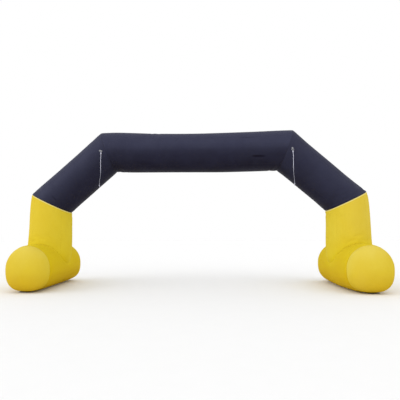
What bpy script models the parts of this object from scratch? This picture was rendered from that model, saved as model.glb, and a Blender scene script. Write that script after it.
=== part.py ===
# Inflatable arch of coated cloth tubes, 9 m across and 4 m high.
# X runs along the span, Y from front (-) to back (+), Z up.
# The origin is on the ground, under the middle of the arch.
import math
from collections import namedtuple

import bmesh
import bpy
from mathutils import Matrix, Vector
from mathutils.bvhtree import BVHTree

# Driving dimensions, in metres
GAP = 0.0003                    # between two pieces that touch
TUBE_RADIUS = 0.50              # beam and slanting tubes
SHOULDER_X, SHOULDER_Z = 2.285, 3.512  # where the axes of beam and slant meet
KNEE_X, KNEE_Z = 3.828, 2.176   # where the axes of slant and leg meet
FOOT_X = 3.97                   # axis of the foot, and of the leg where it stands on it
LEG_RADIUS = 0.545              # leg at its lower end
LEG_BOTTOM_Z = 0.60             # lower end of the leg, inside the foot before the saddle cut
FOOT_RADIUS = 0.556             # foot at mid length
FOOT_END_RADIUS = 0.521         # foot at its end seams
FOOT_LENGTH = 2.26              # between the end seams
FOOT_AXIS_Z = 0.553             # a little under the radius, so the foot presses flat
FOOT_END_LIFT = 0.010           # how far the axis rises towards the end seams
FOOT_TOP_STRETCH = 1.025        # how tall the upper half of the section is
# The lower half of the section sags: 2 is an arc, and more is fuller at its corners
END_SQUARENESS = 2.70           # at the end seams and in the caps
MIDDLE_SQUARENESS = {"left": 2.05, "right": 2.95}
CAP_DEPTH = 0.33                # how far the end caps dome out
CAP_SQUARENESS = 2.4            # 2 is an ellipse, more is fuller at the rim
CAP_DROOP = 0.165               # how far the middle of the dome hangs below the foot's axis
PAD_THICKNESS = 0.003
PAD_WIDTH = 0.27
PAD_LENGTH = 2.34
PAD_CORNER = 0.05
PAD_SHIFT = {"left": -0.108, "right": 0.087}   # sideways from under the foot's axis

# Fittings and ropes, in metres and degrees
# along: from the shoulder down the slant's axis; turn: up from the front of the tube;
# tilt: how far the webbing points from straight down towards the middle of the arch
Anchor = namedtuple("Anchor", "along turn tilt")
ANCHORS = {"left": Anchor(0.121, 5.0, 55.0), "right": Anchor(0.101, 2.8, -8.0)}
WEBBING_WIDTH = 0.040
WEBBING_THICKNESS = 0.003
WEBBING_LENGTH = 0.045          # sewn part, from its top edge to the middle of the eye
EYE_RADIUS, EYE_HOLE_RADIUS = 0.0075, 0.0045
RING_WIRE_RADIUS = 0.003
RING_HALF_WIDTH = 0.025         # to the middle of the wire
RING_CORNER = 0.006
RING_SIDE = 0.016               # straight side between bar and bow
RING_LEAN = 30.0                # away from the cloth
ROPE_RADIUS = 0.006
KNOT_LENGTH, KNOT_WIDTH = 0.034, 0.026
LOOP_RADIUS = 0.0105            # of the rope's loop round the ring
KNOT_OVERLAP = 0.002            # of knot and loop, which are one rope
TAIL_LENGTH = 0.030             # loose end under the stopper knot
ROPE_END_Z = 2.60               # lower end of the rope, where the stopper knot begins
ROPE_STEP = 0.028               # between the points of the rope's solid
# Rows down a rope: share of its height, and how far it wanders in X and in Y from its top
RopeRow = namedtuple("RopeRow", "share x y")
ROPE_ROWS = {
    "left": (
        RopeRow(0.00, 0.000, 0.000),
        RopeRow(0.08, -0.003, 0.000),
        RopeRow(0.25, -0.010, 0.002),
        RopeRow(0.45, -0.011, 0.004),
        RopeRow(0.62, -0.013, 0.004),
        RopeRow(0.74, -0.021, 0.002),
        RopeRow(0.86, -0.038, 0.000),
        RopeRow(1.00, -0.040, -0.001),
    ),
    "right": (
        RopeRow(0.00, 0.000, 0.000),
        RopeRow(0.08, 0.007, 0.000),
        RopeRow(0.25, 0.010, 0.002),
        RopeRow(0.45, 0.010, 0.004),
        RopeRow(0.62, 0.014, 0.005),
        RopeRow(0.76, 0.022, 0.003),
        RopeRow(0.88, 0.032, 0.001),
        RopeRow(1.00, 0.036, 0.000),
    ),
}

# Fineness of the solids
TUBE_SIDES = 48
KNOT_SIDES = 16
EYE_SIDES = 16
RING_CORNER_POINTS = 4
RING_BOW_POINTS = 13
PAD_CORNER_STEPS = 5
CURVE_RESOLUTION = 2            # eight sides round a wire or a rope

# Rows across a tube, from its first seam to its second: where the row lies as a share of the
# length, how full the tube is there as a share of its own radius, and how far it sags.
TubeRow = namedtuple("TubeRow", "share fullness sag")
BEAM_ROWS = (
    TubeRow(0.000, 0.986, -0.002),
    TubeRow(0.006, 0.999, -0.002),
    TubeRow(0.020, 1.009, -0.002),
    TubeRow(0.080, 1.025, 0.001),
    TubeRow(0.180, 1.014, 0.011),
    TubeRow(0.320, 0.990, 0.028),
    TubeRow(0.500, 0.985, 0.037),
    TubeRow(0.660, 1.000, 0.035),
    TubeRow(0.800, 1.006, 0.024),
    TubeRow(0.920, 1.012, 0.012),
    TubeRow(0.980, 1.014, 0.007),
    TubeRow(0.994, 1.009, 0.005),
    TubeRow(1.000, 0.996, 0.005),
)
# A slant's rows run up from the knee; the cloth is a little fuller on the left
SLANT_ROWS = {
    "left": (
        TubeRow(0.000, 1.006, 0.000),
        TubeRow(0.012, 1.017, -0.001),
        TubeRow(0.030, 1.024, -0.002),
        TubeRow(0.200, 1.020, -0.006),
        TubeRow(0.500, 1.012, 0.001),
        TubeRow(0.800, 1.004, 0.003),
        TubeRow(0.970, 1.005, -0.001),
        TubeRow(0.988, 1.000, -0.002),
        TubeRow(1.000, 0.986, -0.002),
    ),
    "right": (
        TubeRow(0.000, 0.990, 0.000),
        TubeRow(0.012, 1.002, 0.000),
        TubeRow(0.030, 1.008, 0.000),
        TubeRow(0.200, 0.998, 0.002),
        TubeRow(0.500, 0.992, 0.006),
        TubeRow(0.800, 1.000, 0.002),
        TubeRow(0.970, 1.014, 0.004),
        TubeRow(0.988, 1.009, 0.005),
        TubeRow(1.000, 0.996, 0.005),
    ),
}
# The leg's rows run up from the foot, and inward is its shift towards the middle of the arch
LegRow = namedtuple("LegRow", "share fullness inward")
LEG_ROWS = {
    "left": (
        LegRow(0.00, 1.000, 0.000),
        LegRow(0.06, 1.027, 0.022),
        LegRow(0.14, 1.048, 0.042),
        LegRow(0.30, 1.048, 0.043),
        LegRow(0.50, 1.048, 0.035),
        LegRow(0.70, 1.060, 0.020),
        LegRow(0.90, 1.052, 0.008),
        LegRow(0.97, 1.034, 0.002),
        LegRow(0.988, 1.022, 0.000),
        LegRow(1.00, 1.006, 0.000),
    ),
    "right": (
        LegRow(0.00, 1.000, 0.000),
        LegRow(0.06, 1.027, 0.018),
        LegRow(0.14, 1.044, 0.032),
        LegRow(0.30, 1.038, 0.030),
        LegRow(0.50, 1.036, 0.018),
        LegRow(0.70, 1.042, 0.002),
        LegRow(0.90, 1.036, -0.006),
        LegRow(0.97, 1.018, -0.002),
        LegRow(0.988, 1.006, 0.000),
        LegRow(1.00, 0.990, 0.000),
    ),
}
# Rows along half a foot: share of the half length from the middle out, and how much of the
# step from the end radius to the full radius is left there
FootRow = namedtuple("FootRow", "share fullness")
FOOT_ROWS = (
    FootRow(0.00, 1.00),
    FootRow(0.22, 1.00),
    FootRow(0.42, 0.985),
    FootRow(0.62, 0.93),
    FootRow(0.80, 0.77),
    FootRow(0.92, 0.52),
    FootRow(0.975, 0.28),
    FootRow(1.00, 0.00),
)
CAP_STEPS = 9                   # rows of the dome

Y_AXIS = Vector((0, 1, 0))
SIDES = {"left": -1, "right": 1}
ENDS = {"front": -1, "back": 1}


def clear_scene():
    for old in list(bpy.data.objects):
        bpy.data.objects.remove(old, do_unlink=True)


def new_collection(name):
    collection = bpy.data.collections.new(name)
    bpy.context.scene.collection.children.link(collection)
    return collection


def new_material(name, colour, roughness, metallic=0.0):
    material = bpy.data.materials.new(name)
    material.use_nodes = True
    shader = material.node_tree.nodes["Principled BSDF"]
    shader.inputs["Base Color"].default_value = (*colour, 1.0)
    shader.inputs["Roughness"].default_value = roughness
    shader.inputs["Metallic"].default_value = metallic
    return material


def add_object(name, mesh, material, collection):
    piece = bpy.data.objects.new(name, mesh)
    mesh.materials.append(material)
    collection.objects.link(piece)
    return piece


def smooth_mesh(mesh, sharp_degrees=40):
    mesh.shade_smooth()
    mesh.set_sharp_from_angle(angle=math.radians(sharp_degrees))


def mesh_from_rings(name, rings):
    """A closed tube through rings of points, with a flat face over each end."""
    shape = bmesh.new()
    loops = [[shape.verts.new(point) for point in ring] for ring in rings]
    count = len(loops[0])
    for lower, upper in zip(loops, loops[1:]):
        for k in range(count):
            nxt = (k + 1) % count
            shape.faces.new((lower[k], lower[nxt], upper[nxt], upper[k]))
    shape.faces.new(loops[0])
    shape.faces.new(loops[-1])
    bmesh.ops.recalc_face_normals(shape, faces=shape.faces)
    mesh = bpy.data.meshes.new(name)
    shape.to_mesh(mesh)
    shape.free()
    smooth_mesh(mesh)
    return mesh


def section(centre, outward, half_length, half_width):
    """An oval of points: outward is its long way, and the Y axis its short way."""
    points = []
    for k in range(TUBE_SIDES):
        angle = 2 * math.pi * k / TUBE_SIDES
        points.append(centre + outward * (half_length * math.cos(angle))
                      + Y_AXIS * (half_width * math.sin(angle)))
    return points


def mitre_section(corner, before, after, radius, setback):
    """The cut where two tubes meet at a corner. before and after are the directions of the
    two axes along the arch; the cut is moved by setback along the arch."""
    across = (before + after).normalized()
    outward = across.cross(Y_AXIS)
    half_length = radius / across.dot(before)
    return section(corner + across * setback, outward, half_length, radius)


def tube_rings(first, last, rows):
    """Rings from the first section to the last, filled and sagged row by row."""
    rings = []
    for row in rows:
        drop = Vector((0, 0, -row.sag))
        rings.append(filled_ring(first, last, row, drop))
    return rings


def filled_ring(first, last, row, shift):
    """The ring at a row's share between two sections, filled about its middle and shifted."""
    ring = [a.lerp(b, row.share) for a, b in zip(first, last)]
    middle = sum(ring, Vector()) / len(ring)
    return [middle + (point - middle) * row.fullness + shift for point in ring]


def foot_fullness(share):
    """Fullness of the foot at a share of its half length, read between the rows."""
    for inner, outer in zip(FOOT_ROWS, FOOT_ROWS[1:]):
        if share <= outer.share:
            part = (share - inner.share) / (outer.share - inner.share)
            return inner.fullness + part * (outer.fullness - inner.fullness)
    return 0.0


def foot_section(centre, radius, squareness, lowest_z):
    """A ring of the foot: a tall arc above its axis, and a sagging, squarer one below that
    never goes under lowest_z."""
    power = 2 / squareness
    ring = []
    for k in range(TUBE_SIDES):
        angle = 2 * math.pi * k / TUBE_SIDES
        across, up = math.cos(angle), math.sin(angle) * FOOT_TOP_STRETCH
        if up < 0:
            across = math.copysign(abs(across) ** power, across)
            up = -abs(math.sin(angle)) ** power
        ring.append(Vector((centre.x + radius * across, centre.y,
                            max(centre.z + radius * up, lowest_z))))
    return ring


def foot_rings(label, side, extra, lowest_z):
    """Rings of a foot from front to back. extra is added to the radius, and nothing lies
    below lowest_z."""
    shares = [-row.share for row in reversed(FOOT_ROWS)] + [row.share for row in FOOT_ROWS[1:]]
    rings = []
    for share in shares:
        lift = FOOT_END_LIFT * abs(share) ** 3
        centre = Vector((side * FOOT_X, share * FOOT_LENGTH / 2, FOOT_AXIS_Z + lift))
        fullness = foot_fullness(abs(share))
        radius = FOOT_END_RADIUS + fullness * (FOOT_RADIUS - FOOT_END_RADIUS)
        squareness = END_SQUARENESS + fullness * (MIDDLE_SQUARENESS[label] - END_SQUARENESS)
        rings.append(foot_section(centre, radius + extra, squareness, lowest_z))
    return rings


def arch_directions(side):
    """Directions of the axes along the arch, from one foot up and over to the other, on the
    way from the left foot. side is -1 on the left and 1 on the right."""
    up_leg = Vector((FOOT_X - KNEE_X, 0, KNEE_Z - FOOT_AXIS_Z)).normalized()
    up_slant = Vector((KNEE_X - SHOULDER_X, 0, SHOULDER_Z - KNEE_Z)).normalized()
    if side > 0:
        up_leg.z, up_slant.z = -up_leg.z, -up_slant.z
    return up_leg, up_slant


def add_beam(material, collection):
    along = Vector((1, 0, 0))
    cuts = []
    for side in (-1, 1):
        slant = arch_directions(side)[1]
        corner = Vector((side * SHOULDER_X, 0, SHOULDER_Z))
        cuts.append(mitre_section(corner, slant, along, TUBE_RADIUS, -side * GAP / 2))
    mesh = mesh_from_rings("beam", tube_rings(cuts[0], cuts[1], BEAM_ROWS))
    add_object("beam", mesh, material, collection)


def add_slant(label, side, material, collection):
    leg, slant = arch_directions(side)
    knee = Vector((side * KNEE_X, 0, KNEE_Z))
    shoulder = Vector((side * SHOULDER_X, 0, SHOULDER_Z))
    low = mitre_section(knee, leg, slant, TUBE_RADIUS, -side * GAP / 2)
    high = mitre_section(shoulder, slant, Vector((1, 0, 0)), TUBE_RADIUS, side * GAP / 2)
    mesh = mesh_from_rings("slant_" + label, tube_rings(low, high, SLANT_ROWS[label]))
    add_object("slant_" + label, mesh, material, collection)


def add_leg(label, side, material, collection, cutters):
    leg, slant = arch_directions(side)
    knee = Vector((side * KNEE_X, 0, KNEE_Z))
    top = mitre_section(knee, leg, slant, TUBE_RADIUS, side * GAP / 2)
    foot_x = side * FOOT_X
    bottom = section(Vector((foot_x, 0, LEG_BOTTOM_Z)), Vector((side, 0, 0)),
                     LEG_RADIUS, LEG_RADIUS)
    rings = [filled_ring(bottom, top, row, Vector((-side * row.inward, 0, 0)))
             for row in LEG_ROWS[label]]
    mesh = mesh_from_rings("leg_" + label, rings)
    piece = add_object("leg_" + label, mesh, material, collection)

    # the foot's shape, larger by the gap, cuts the saddle
    rings = foot_rings(label, side, GAP, -FOOT_RADIUS)
    cutter = add_object("saddle_cutter_" + label,
                        mesh_from_rings("saddle_cutter_" + label, rings), material, cutters)
    cutter.hide_render = True
    cutter.display_type = "WIRE"
    cut = piece.modifiers.new("saddle", "BOOLEAN")
    cut.operation = "DIFFERENCE"
    cut.solver = "EXACT"
    cut.object = cutter


def add_foot(label, side, material, collection):
    rings = foot_rings(label, side, 0.0, PAD_THICKNESS + GAP)
    mesh = mesh_from_rings("foot_" + label, rings)
    add_object("foot_" + label, mesh, material, collection)


def add_cap(label, side, end_label, end, material, collection):
    """A domed end panel, whose middle hangs a little lower than its rim."""
    rings = []
    for k in range(CAP_STEPS):
        radius = FOOT_END_RADIUS * math.cos(math.pi / 2 * k / CAP_STEPS)
        depth = (1 - (radius / FOOT_END_RADIUS) ** CAP_SQUARENESS) ** (1 / CAP_SQUARENESS)
        centre = Vector((side * FOOT_X, end * (FOOT_LENGTH / 2 + GAP + CAP_DEPTH * depth),
                         FOOT_AXIS_Z + FOOT_END_LIFT - CAP_DROOP * depth ** 2))
        rings.append(foot_section(centre, radius, END_SQUARENESS, PAD_THICKNESS + GAP))
    name = f"cap_{label}_{end_label}"
    add_object(name, mesh_from_rings(name, rings), material, collection)


def add_ground_pad(label, side, material, collection):
    shape = bmesh.new()
    bmesh.ops.create_cube(shape, size=1.0)
    bmesh.ops.scale(shape, vec=(PAD_WIDTH, PAD_LENGTH, PAD_THICKNESS), verts=shape.verts)
    upright = [edge for edge in shape.edges
               if abs(edge.verts[0].co.z - edge.verts[1].co.z) > PAD_THICKNESS / 2]
    bmesh.ops.bevel(shape, geom=upright, offset=PAD_CORNER, segments=PAD_CORNER_STEPS,
                    profile=0.5, affect="EDGES")
    mesh = bpy.data.meshes.new("ground_pad_" + label)
    shape.to_mesh(mesh)
    shape.free()
    piece = add_object("ground_pad_" + label, mesh, material, collection)
    piece.location = (side * FOOT_X + PAD_SHIFT[label], 0, PAD_THICKNESS / 2)


def mesh_from_curve(name, curve):
    """The curve's evaluated mesh, with its caps welded on."""
    holder = bpy.data.objects.new(name + "_curve", curve)
    bpy.context.scene.collection.objects.link(holder)
    graph = bpy.context.evaluated_depsgraph_get()
    mesh = bpy.data.meshes.new_from_object(holder.evaluated_get(graph))
    mesh.name = name
    bpy.data.objects.remove(holder, do_unlink=True)
    shape = bmesh.new()
    shape.from_mesh(mesh)
    bmesh.ops.remove_doubles(shape, verts=shape.verts, dist=0.00001)
    bmesh.ops.recalc_face_normals(shape, faces=shape.faces)
    shape.to_mesh(mesh)
    shape.free()
    return mesh


def add_poly_spline(curve, points, cyclic):
    spline = curve.splines.new("POLY")
    spline.points.add(len(points) - 1)
    for target, point in zip(spline.points, points):
        target.co = (*point, 1.0)
    spline.use_cyclic_u = cyclic


def circle_points(centre_x, centre_y, radius, first_degrees, last_degrees, count):
    """Points of an arc in a flat plane, both ends included."""
    points = []
    for k in range(count):
        angle = math.radians(first_degrees + (last_degrees - first_degrees) * k / (count - 1))
        points.append((centre_x + radius * math.cos(angle),
                       centre_y + radius * math.sin(angle), 0.0))
    return points


def anchor_frame(label, side):
    """Where the webbing sits on the slant's cloth: a matrix whose X runs down the webbing,
    Y stands off the cloth and Z lies across the webbing. Its origin is the sewn middle."""
    anchor = ANCHORS[label]
    slant = bpy.data.objects["slant_" + label].data
    down = Vector((side * (KNEE_X - SHOULDER_X), 0, KNEE_Z - SHOULDER_Z)).normalized()
    over = Vector((side * (SHOULDER_Z - KNEE_Z), 0, KNEE_X - SHOULDER_X)).normalized()
    turn = math.radians(anchor.turn)
    radial = over * math.sin(turn) - Y_AXIS * math.cos(turn)
    axis_point = Vector((side * SHOULDER_X, 0, SHOULDER_Z)) + down * anchor.along
    tree = BVHTree.FromPolygons([vert.co for vert in slant.vertices],
                                [face.vertices for face in slant.polygons])
    seat, normal, _, _ = tree.ray_cast(axis_point + radial, -radial)
    if normal.dot(radial) < 0:
        normal = -normal
    straight_down = (Vector((0, 0, -1)) + normal * normal.z).normalized()
    tilt = Matrix.Rotation(math.radians(side * anchor.tilt), 3, -normal)
    along = tilt @ straight_down
    across = along.cross(normal)
    frame = Matrix((along, normal, across)).transposed().to_4x4()
    frame.translation = seat + normal * GAP
    return frame


def add_tab(label, frame, material, collection):
    """A strip of webbing sewn on at one end and turned back into an eye at the other."""
    reach = WEBBING_LENGTH / 2
    lip_angle = math.degrees(math.asin((WEBBING_THICKNESS - EYE_RADIUS) / EYE_RADIUS))
    outline = [(-reach, 0, 0)]
    outline += circle_points(reach, EYE_RADIUS, EYE_RADIUS, -90, 180 - lip_angle, EYE_SIDES)
    outline.append((-reach, WEBBING_THICKNESS, 0))
    curve = bpy.data.curves.new("tab_" + label, "CURVE")
    curve.dimensions = "2D"
    curve.fill_mode = "BOTH"
    curve.extrude = WEBBING_WIDTH / 2
    add_poly_spline(curve, outline, True)
    hole = circle_points(reach, EYE_RADIUS, EYE_HOLE_RADIUS, 0, 360, EYE_SIDES)
    add_poly_spline(curve, hole[:-1], True)
    mesh = mesh_from_curve("tab_" + label, curve)
    piece = add_object("tab_" + label, mesh, material, collection)
    piece.matrix_world = frame


def ring_path(frame):
    """The middle line of the wire's D, in the world: the bar lies in the eye of the webbing
    and the bow leans away from the cloth."""
    along, off, across = (frame.col[k].to_3d() for k in range(3))
    lean = math.radians(RING_LEAN)
    outwards = along * math.cos(lean) + off * math.sin(lean)
    eye = frame @ Vector((WEBBING_LENGTH / 2, EYE_RADIUS, 0))
    bar = eye + outwards * (EYE_HOLE_RADIUS - RING_WIRE_RADIUS - GAP)
    inner = RING_HALF_WIDTH - RING_CORNER
    flat = circle_points(inner, RING_CORNER, RING_CORNER, -90, 0, RING_CORNER_POINTS)
    flat += circle_points(0, RING_CORNER + RING_SIDE, RING_HALF_WIDTH, 0, 180,
                          RING_BOW_POINTS)
    flat += circle_points(-inner, RING_CORNER, RING_CORNER, 180, 270, RING_CORNER_POINTS)
    return [bar + across * x + outwards * y for x, y, _ in flat]


def add_ring(label, path, material, collection):
    curve = bpy.data.curves.new("ring_" + label, "CURVE")
    curve.dimensions = "3D"
    curve.bevel_depth = RING_WIRE_RADIUS
    curve.bevel_resolution = CURVE_RESOLUTION
    add_poly_spline(curve, path, True)
    add_object("ring_" + label, mesh_from_curve("ring_" + label, curve), material, collection)


def add_knot_body(name, centre, material, collection):
    bpy.ops.mesh.primitive_uv_sphere_add(segments=KNOT_SIDES, ring_count=KNOT_SIDES // 2,
                                         radius=0.5, location=centre)
    body = bpy.context.active_object
    body.scale = (KNOT_WIDTH, KNOT_WIDTH, KNOT_LENGTH)
    bpy.ops.object.transform_apply(location=False, rotation=False, scale=True)
    return adopt(body, name, material, collection)


def adopt(piece, name, material, collection):
    """Gives a new primitive its name, material and collection."""
    piece.name = name
    piece.data.name = name
    piece.data.materials.append(material)
    for owner in list(piece.users_collection):
        owner.objects.unlink(piece)
    collection.objects.link(piece)
    piece.data.shade_smooth()
    return piece


def fuse(piece, other):
    """Makes other part of piece, and keeps it as a guide."""
    other.hide_render = True
    other.display_type = "WIRE"
    join = piece.modifiers.new("fuse", "BOOLEAN")
    join.operation = "UNION"
    join.solver = "EXACT"
    join.object = other


def add_rope(label, path, material, collection, cutters):
    """The rope's loop and knot on the ring, its run down, and the stopper knot below."""
    lowest = min(range(len(path)), key=lambda k: path[k].z)
    before, after = path[lowest - 1], path[(lowest + 1) % len(path)]
    wire_way = (after - before).normalized()
    slack = LOOP_RADIUS - ROPE_RADIUS - RING_WIRE_RADIUS - GAP
    loop_centre = path[lowest] - Vector((0, 0, slack))
    turn = Vector((0, 0, 1)).rotation_difference(wire_way).to_euler()
    bpy.ops.mesh.primitive_torus_add(location=loop_centre, rotation=turn,
                                     major_radius=LOOP_RADIUS, minor_radius=ROPE_RADIUS,
                                     major_segments=KNOT_SIDES, minor_segments=KNOT_SIDES // 2)
    knot = adopt(bpy.context.active_object, "rope_knot_" + label, material, collection)
    body_z = loop_centre.z - LOOP_RADIUS - KNOT_LENGTH / 2 + KNOT_OVERLAP
    body_centre = Vector((loop_centre.x, loop_centre.y, body_z))
    fuse(knot, add_knot_body("knot_body_" + label, body_centre, material, cutters))

    top = body_centre - Vector((0, 0, KNOT_LENGTH / 2 + GAP))
    points = rope_points(label, top)
    curve = bpy.data.curves.new("rope_" + label, "CURVE")
    curve.dimensions = "3D"
    curve.bevel_depth = ROPE_RADIUS
    curve.bevel_resolution = CURVE_RESOLUTION
    curve.use_fill_caps = True
    add_poly_spline(curve, points, False)
    add_object("rope_" + label, mesh_from_curve("rope_" + label, curve), material, collection)

    end_centre = points[-1] - Vector((0, 0, GAP + KNOT_LENGTH / 2))
    end = add_knot_body("rope_end_" + label, end_centre, material, collection)
    tail_top = end_centre.z
    tail_bottom = end_centre.z - KNOT_LENGTH / 2 - TAIL_LENGTH
    bpy.ops.mesh.primitive_cylinder_add(
        vertices=KNOT_SIDES // 2, radius=ROPE_RADIUS, depth=tail_top - tail_bottom,
        location=(end_centre.x, end_centre.y, (tail_top + tail_bottom) / 2))
    fuse(end, adopt(bpy.context.active_object, "rope_tail_" + label, material, cutters))


def rope_points(label, top):
    """Points down the rope, on a smooth curve through its rows."""
    rows = ROPE_ROWS[label]
    drop = top.z - ROPE_END_Z
    route = [top + Vector((row.x, row.y, -row.share * drop)) for row in rows]
    count = round(drop / ROPE_STEP)
    points = []
    for k in range(count + 1):
        share = k / count
        span = max(i for i in range(len(rows) - 1) if rows[i].share <= share)
        part = (share - rows[span].share) / (rows[span + 1].share - rows[span].share)
        points.append(smooth_point(route, span, part))
    return points


def smooth_point(route, span, part):
    """A point on the Catmull-Rom curve through the route, in one of its spans."""
    p1, p2 = route[span], route[span + 1]
    p0 = route[span - 1] if span > 0 else p1 * 2 - p2
    p3 = route[span + 2] if span + 2 < len(route) else p2 * 2 - p1
    return ((p1 * 2) + (p2 - p0) * part + (p0 * 2 - p1 * 5 + p2 * 4 - p3) * part ** 2
            + (p1 * 3 - p0 - p2 * 3 + p3) * part ** 3) / 2


def main():
    clear_scene()
    arch = new_collection("inflatable_arch")
    cutters = new_collection("cutters")
    dark_cloth = new_material("dark_cloth", (0.030, 0.030, 0.045), 0.55)
    yellow_cloth = new_material("yellow_cloth", (0.72, 0.53, 0.045), 0.50)
    black_pad = new_material("black_pad", (0.01, 0.01, 0.01), 0.7)
    webbing = new_material("webbing", (0.62, 0.62, 0.64), 0.7)
    steel = new_material("steel", (0.75, 0.75, 0.76), 0.3, 1.0)
    rope = new_material("rope", (0.55, 0.55, 0.57), 0.75)

    add_beam(dark_cloth, arch)
    for label, side in SIDES.items():
        add_slant(label, side, dark_cloth, arch)
        add_leg(label, side, yellow_cloth, arch, cutters)
        add_foot(label, side, yellow_cloth, arch)
        add_ground_pad(label, side, black_pad, arch)
        for end_label, end in ENDS.items():
            add_cap(label, side, end_label, end, yellow_cloth, arch)
        frame = anchor_frame(label, side)
        add_tab(label, frame, webbing, arch)
        path = ring_path(frame)
        add_ring(label, path, steel, arch)
        add_rope(label, path, rope, arch, cutters)


main()
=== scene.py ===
import math

import bpy
import numpy as np
from mathutils import Matrix, Vector
from mathutils.bvhtree import BVHTree


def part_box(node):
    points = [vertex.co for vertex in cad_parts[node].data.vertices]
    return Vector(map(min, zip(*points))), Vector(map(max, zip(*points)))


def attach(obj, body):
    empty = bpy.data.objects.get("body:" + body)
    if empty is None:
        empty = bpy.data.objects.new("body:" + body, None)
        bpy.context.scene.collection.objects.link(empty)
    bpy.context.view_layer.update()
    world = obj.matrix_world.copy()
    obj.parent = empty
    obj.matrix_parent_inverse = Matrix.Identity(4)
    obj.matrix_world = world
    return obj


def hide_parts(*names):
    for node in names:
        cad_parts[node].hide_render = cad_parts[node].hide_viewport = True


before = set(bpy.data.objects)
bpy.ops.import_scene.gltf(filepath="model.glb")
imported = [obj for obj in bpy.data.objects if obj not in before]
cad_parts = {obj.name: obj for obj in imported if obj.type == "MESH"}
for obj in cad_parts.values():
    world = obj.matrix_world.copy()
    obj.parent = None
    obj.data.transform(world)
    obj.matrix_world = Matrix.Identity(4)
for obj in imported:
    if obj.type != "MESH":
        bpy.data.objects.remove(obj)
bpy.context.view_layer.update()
sides = {"left": -1, "right": 1}
ends = {"front": -1, "back": 1}
yAxis = Vector((0, 1, 0))
gap = 0.0003                                # between two pieces that touch
turn = 2 * math.pi


def clearSelection():
    if bpy.context.object and bpy.context.object.mode != "OBJECT":
        bpy.ops.object.mode_set(mode="OBJECT")
    bpy.ops.object.select_all(action="DESELECT")


def pick(piece):
    clearSelection()
    piece.select_set(True)
    bpy.context.view_layer.objects.active = piece


def weld(piece, distance, smoothDegrees):
    # closes seams and poles, turns the faces outwards and shades the piece
    pick(piece)
    bpy.ops.object.mode_set(mode="EDIT")
    bpy.ops.mesh.select_all(action="SELECT")
    bpy.ops.mesh.remove_doubles(threshold=distance)
    bpy.ops.mesh.normals_make_consistent(inside=False)
    bpy.ops.object.mode_set(mode="OBJECT")
    bpy.ops.object.shade_smooth_by_angle(angle=math.radians(smoothDegrees))


def applied(piece, title, kind, **settings):
    # shapes the piece with one modifier
    pick(piece)
    modifier = piece.modifiers.new(title, kind)
    for key, value in settings.items():
        setattr(modifier, key, value)
    bpy.ops.object.modifier_apply(modifier=title)


def addGrid(name, columns, rows):
    # a flat sheet of so many columns and rows of points
    clearSelection()
    bpy.ops.mesh.primitive_grid_add(x_subdivisions=columns - 1, y_subdivisions=rows - 1, size=1)
    piece = bpy.context.object
    piece.name = piece.data.name = name
    return piece


def dress(piece, finish, slot, *nodes):
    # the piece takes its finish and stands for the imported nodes
    piece.data.materials.clear()
    piece.data.materials.append(finish)
    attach(piece, "root")
    if nodes:
        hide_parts(*nodes)
    return piece


# Camera

cameraSetup = {"place": (0.2257, -10.45, 1.3815), "yaw": 2.858, "roll": -0.211,
               "sensor": 36, "lens": 36.027, "shiftX": 0.03729, "shiftY": 0.08341}


def addCamera(setup):
    data = bpy.data.cameras.new("eyeLevelCamera")
    data.sensor_width = setup["sensor"]
    data.lens = setup["lens"]
    data.shift_x, data.shift_y = setup["shiftX"], setup["shiftY"]
    camera = bpy.data.objects.new("eyeLevelCamera", data)
    bpy.context.collection.objects.link(camera)
    camera.matrix_world = (Matrix.Translation(setup["place"])
                           @ Matrix.Rotation(math.radians(setup["yaw"]), 4, "Z")
                           @ Matrix.Rotation(math.radians(90), 4, "X")
                           @ Matrix.Rotation(math.radians(setup["roll"]), 4, "Z"))
    bpy.context.scene.camera = camera


addCamera(cameraSetup)
print("camera placed")


# Shader helpers

class Value:
    # a node's output on which maths can be written
    def __init__(self, shader, socket):
        self.shader, self.socket = shader, socket

    def maths(self, operation, *values):
        return self.shader.node("ShaderNodeMath", {"operation": operation},
                                dict(enumerate(values)))

    def __add__(self, other):
        return self.maths("ADD", self, other)

    __radd__ = __add__

    def __sub__(self, other):
        return self.maths("SUBTRACT", self, other)

    def __mul__(self, other):
        return self.maths("MULTIPLY", self, other)

    def __truediv__(self, other):
        return self.maths("DIVIDE", self, other)

    def __lt__(self, other):
        return self.maths("LESS_THAN", self, other)

    def sine(self):
        return self.maths("SINE", self)

    def fraction(self):
        return self.maths("FRACT", self)

    def near(self, other, within):
        return self.maths("COMPARE", self, other, within)


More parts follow.
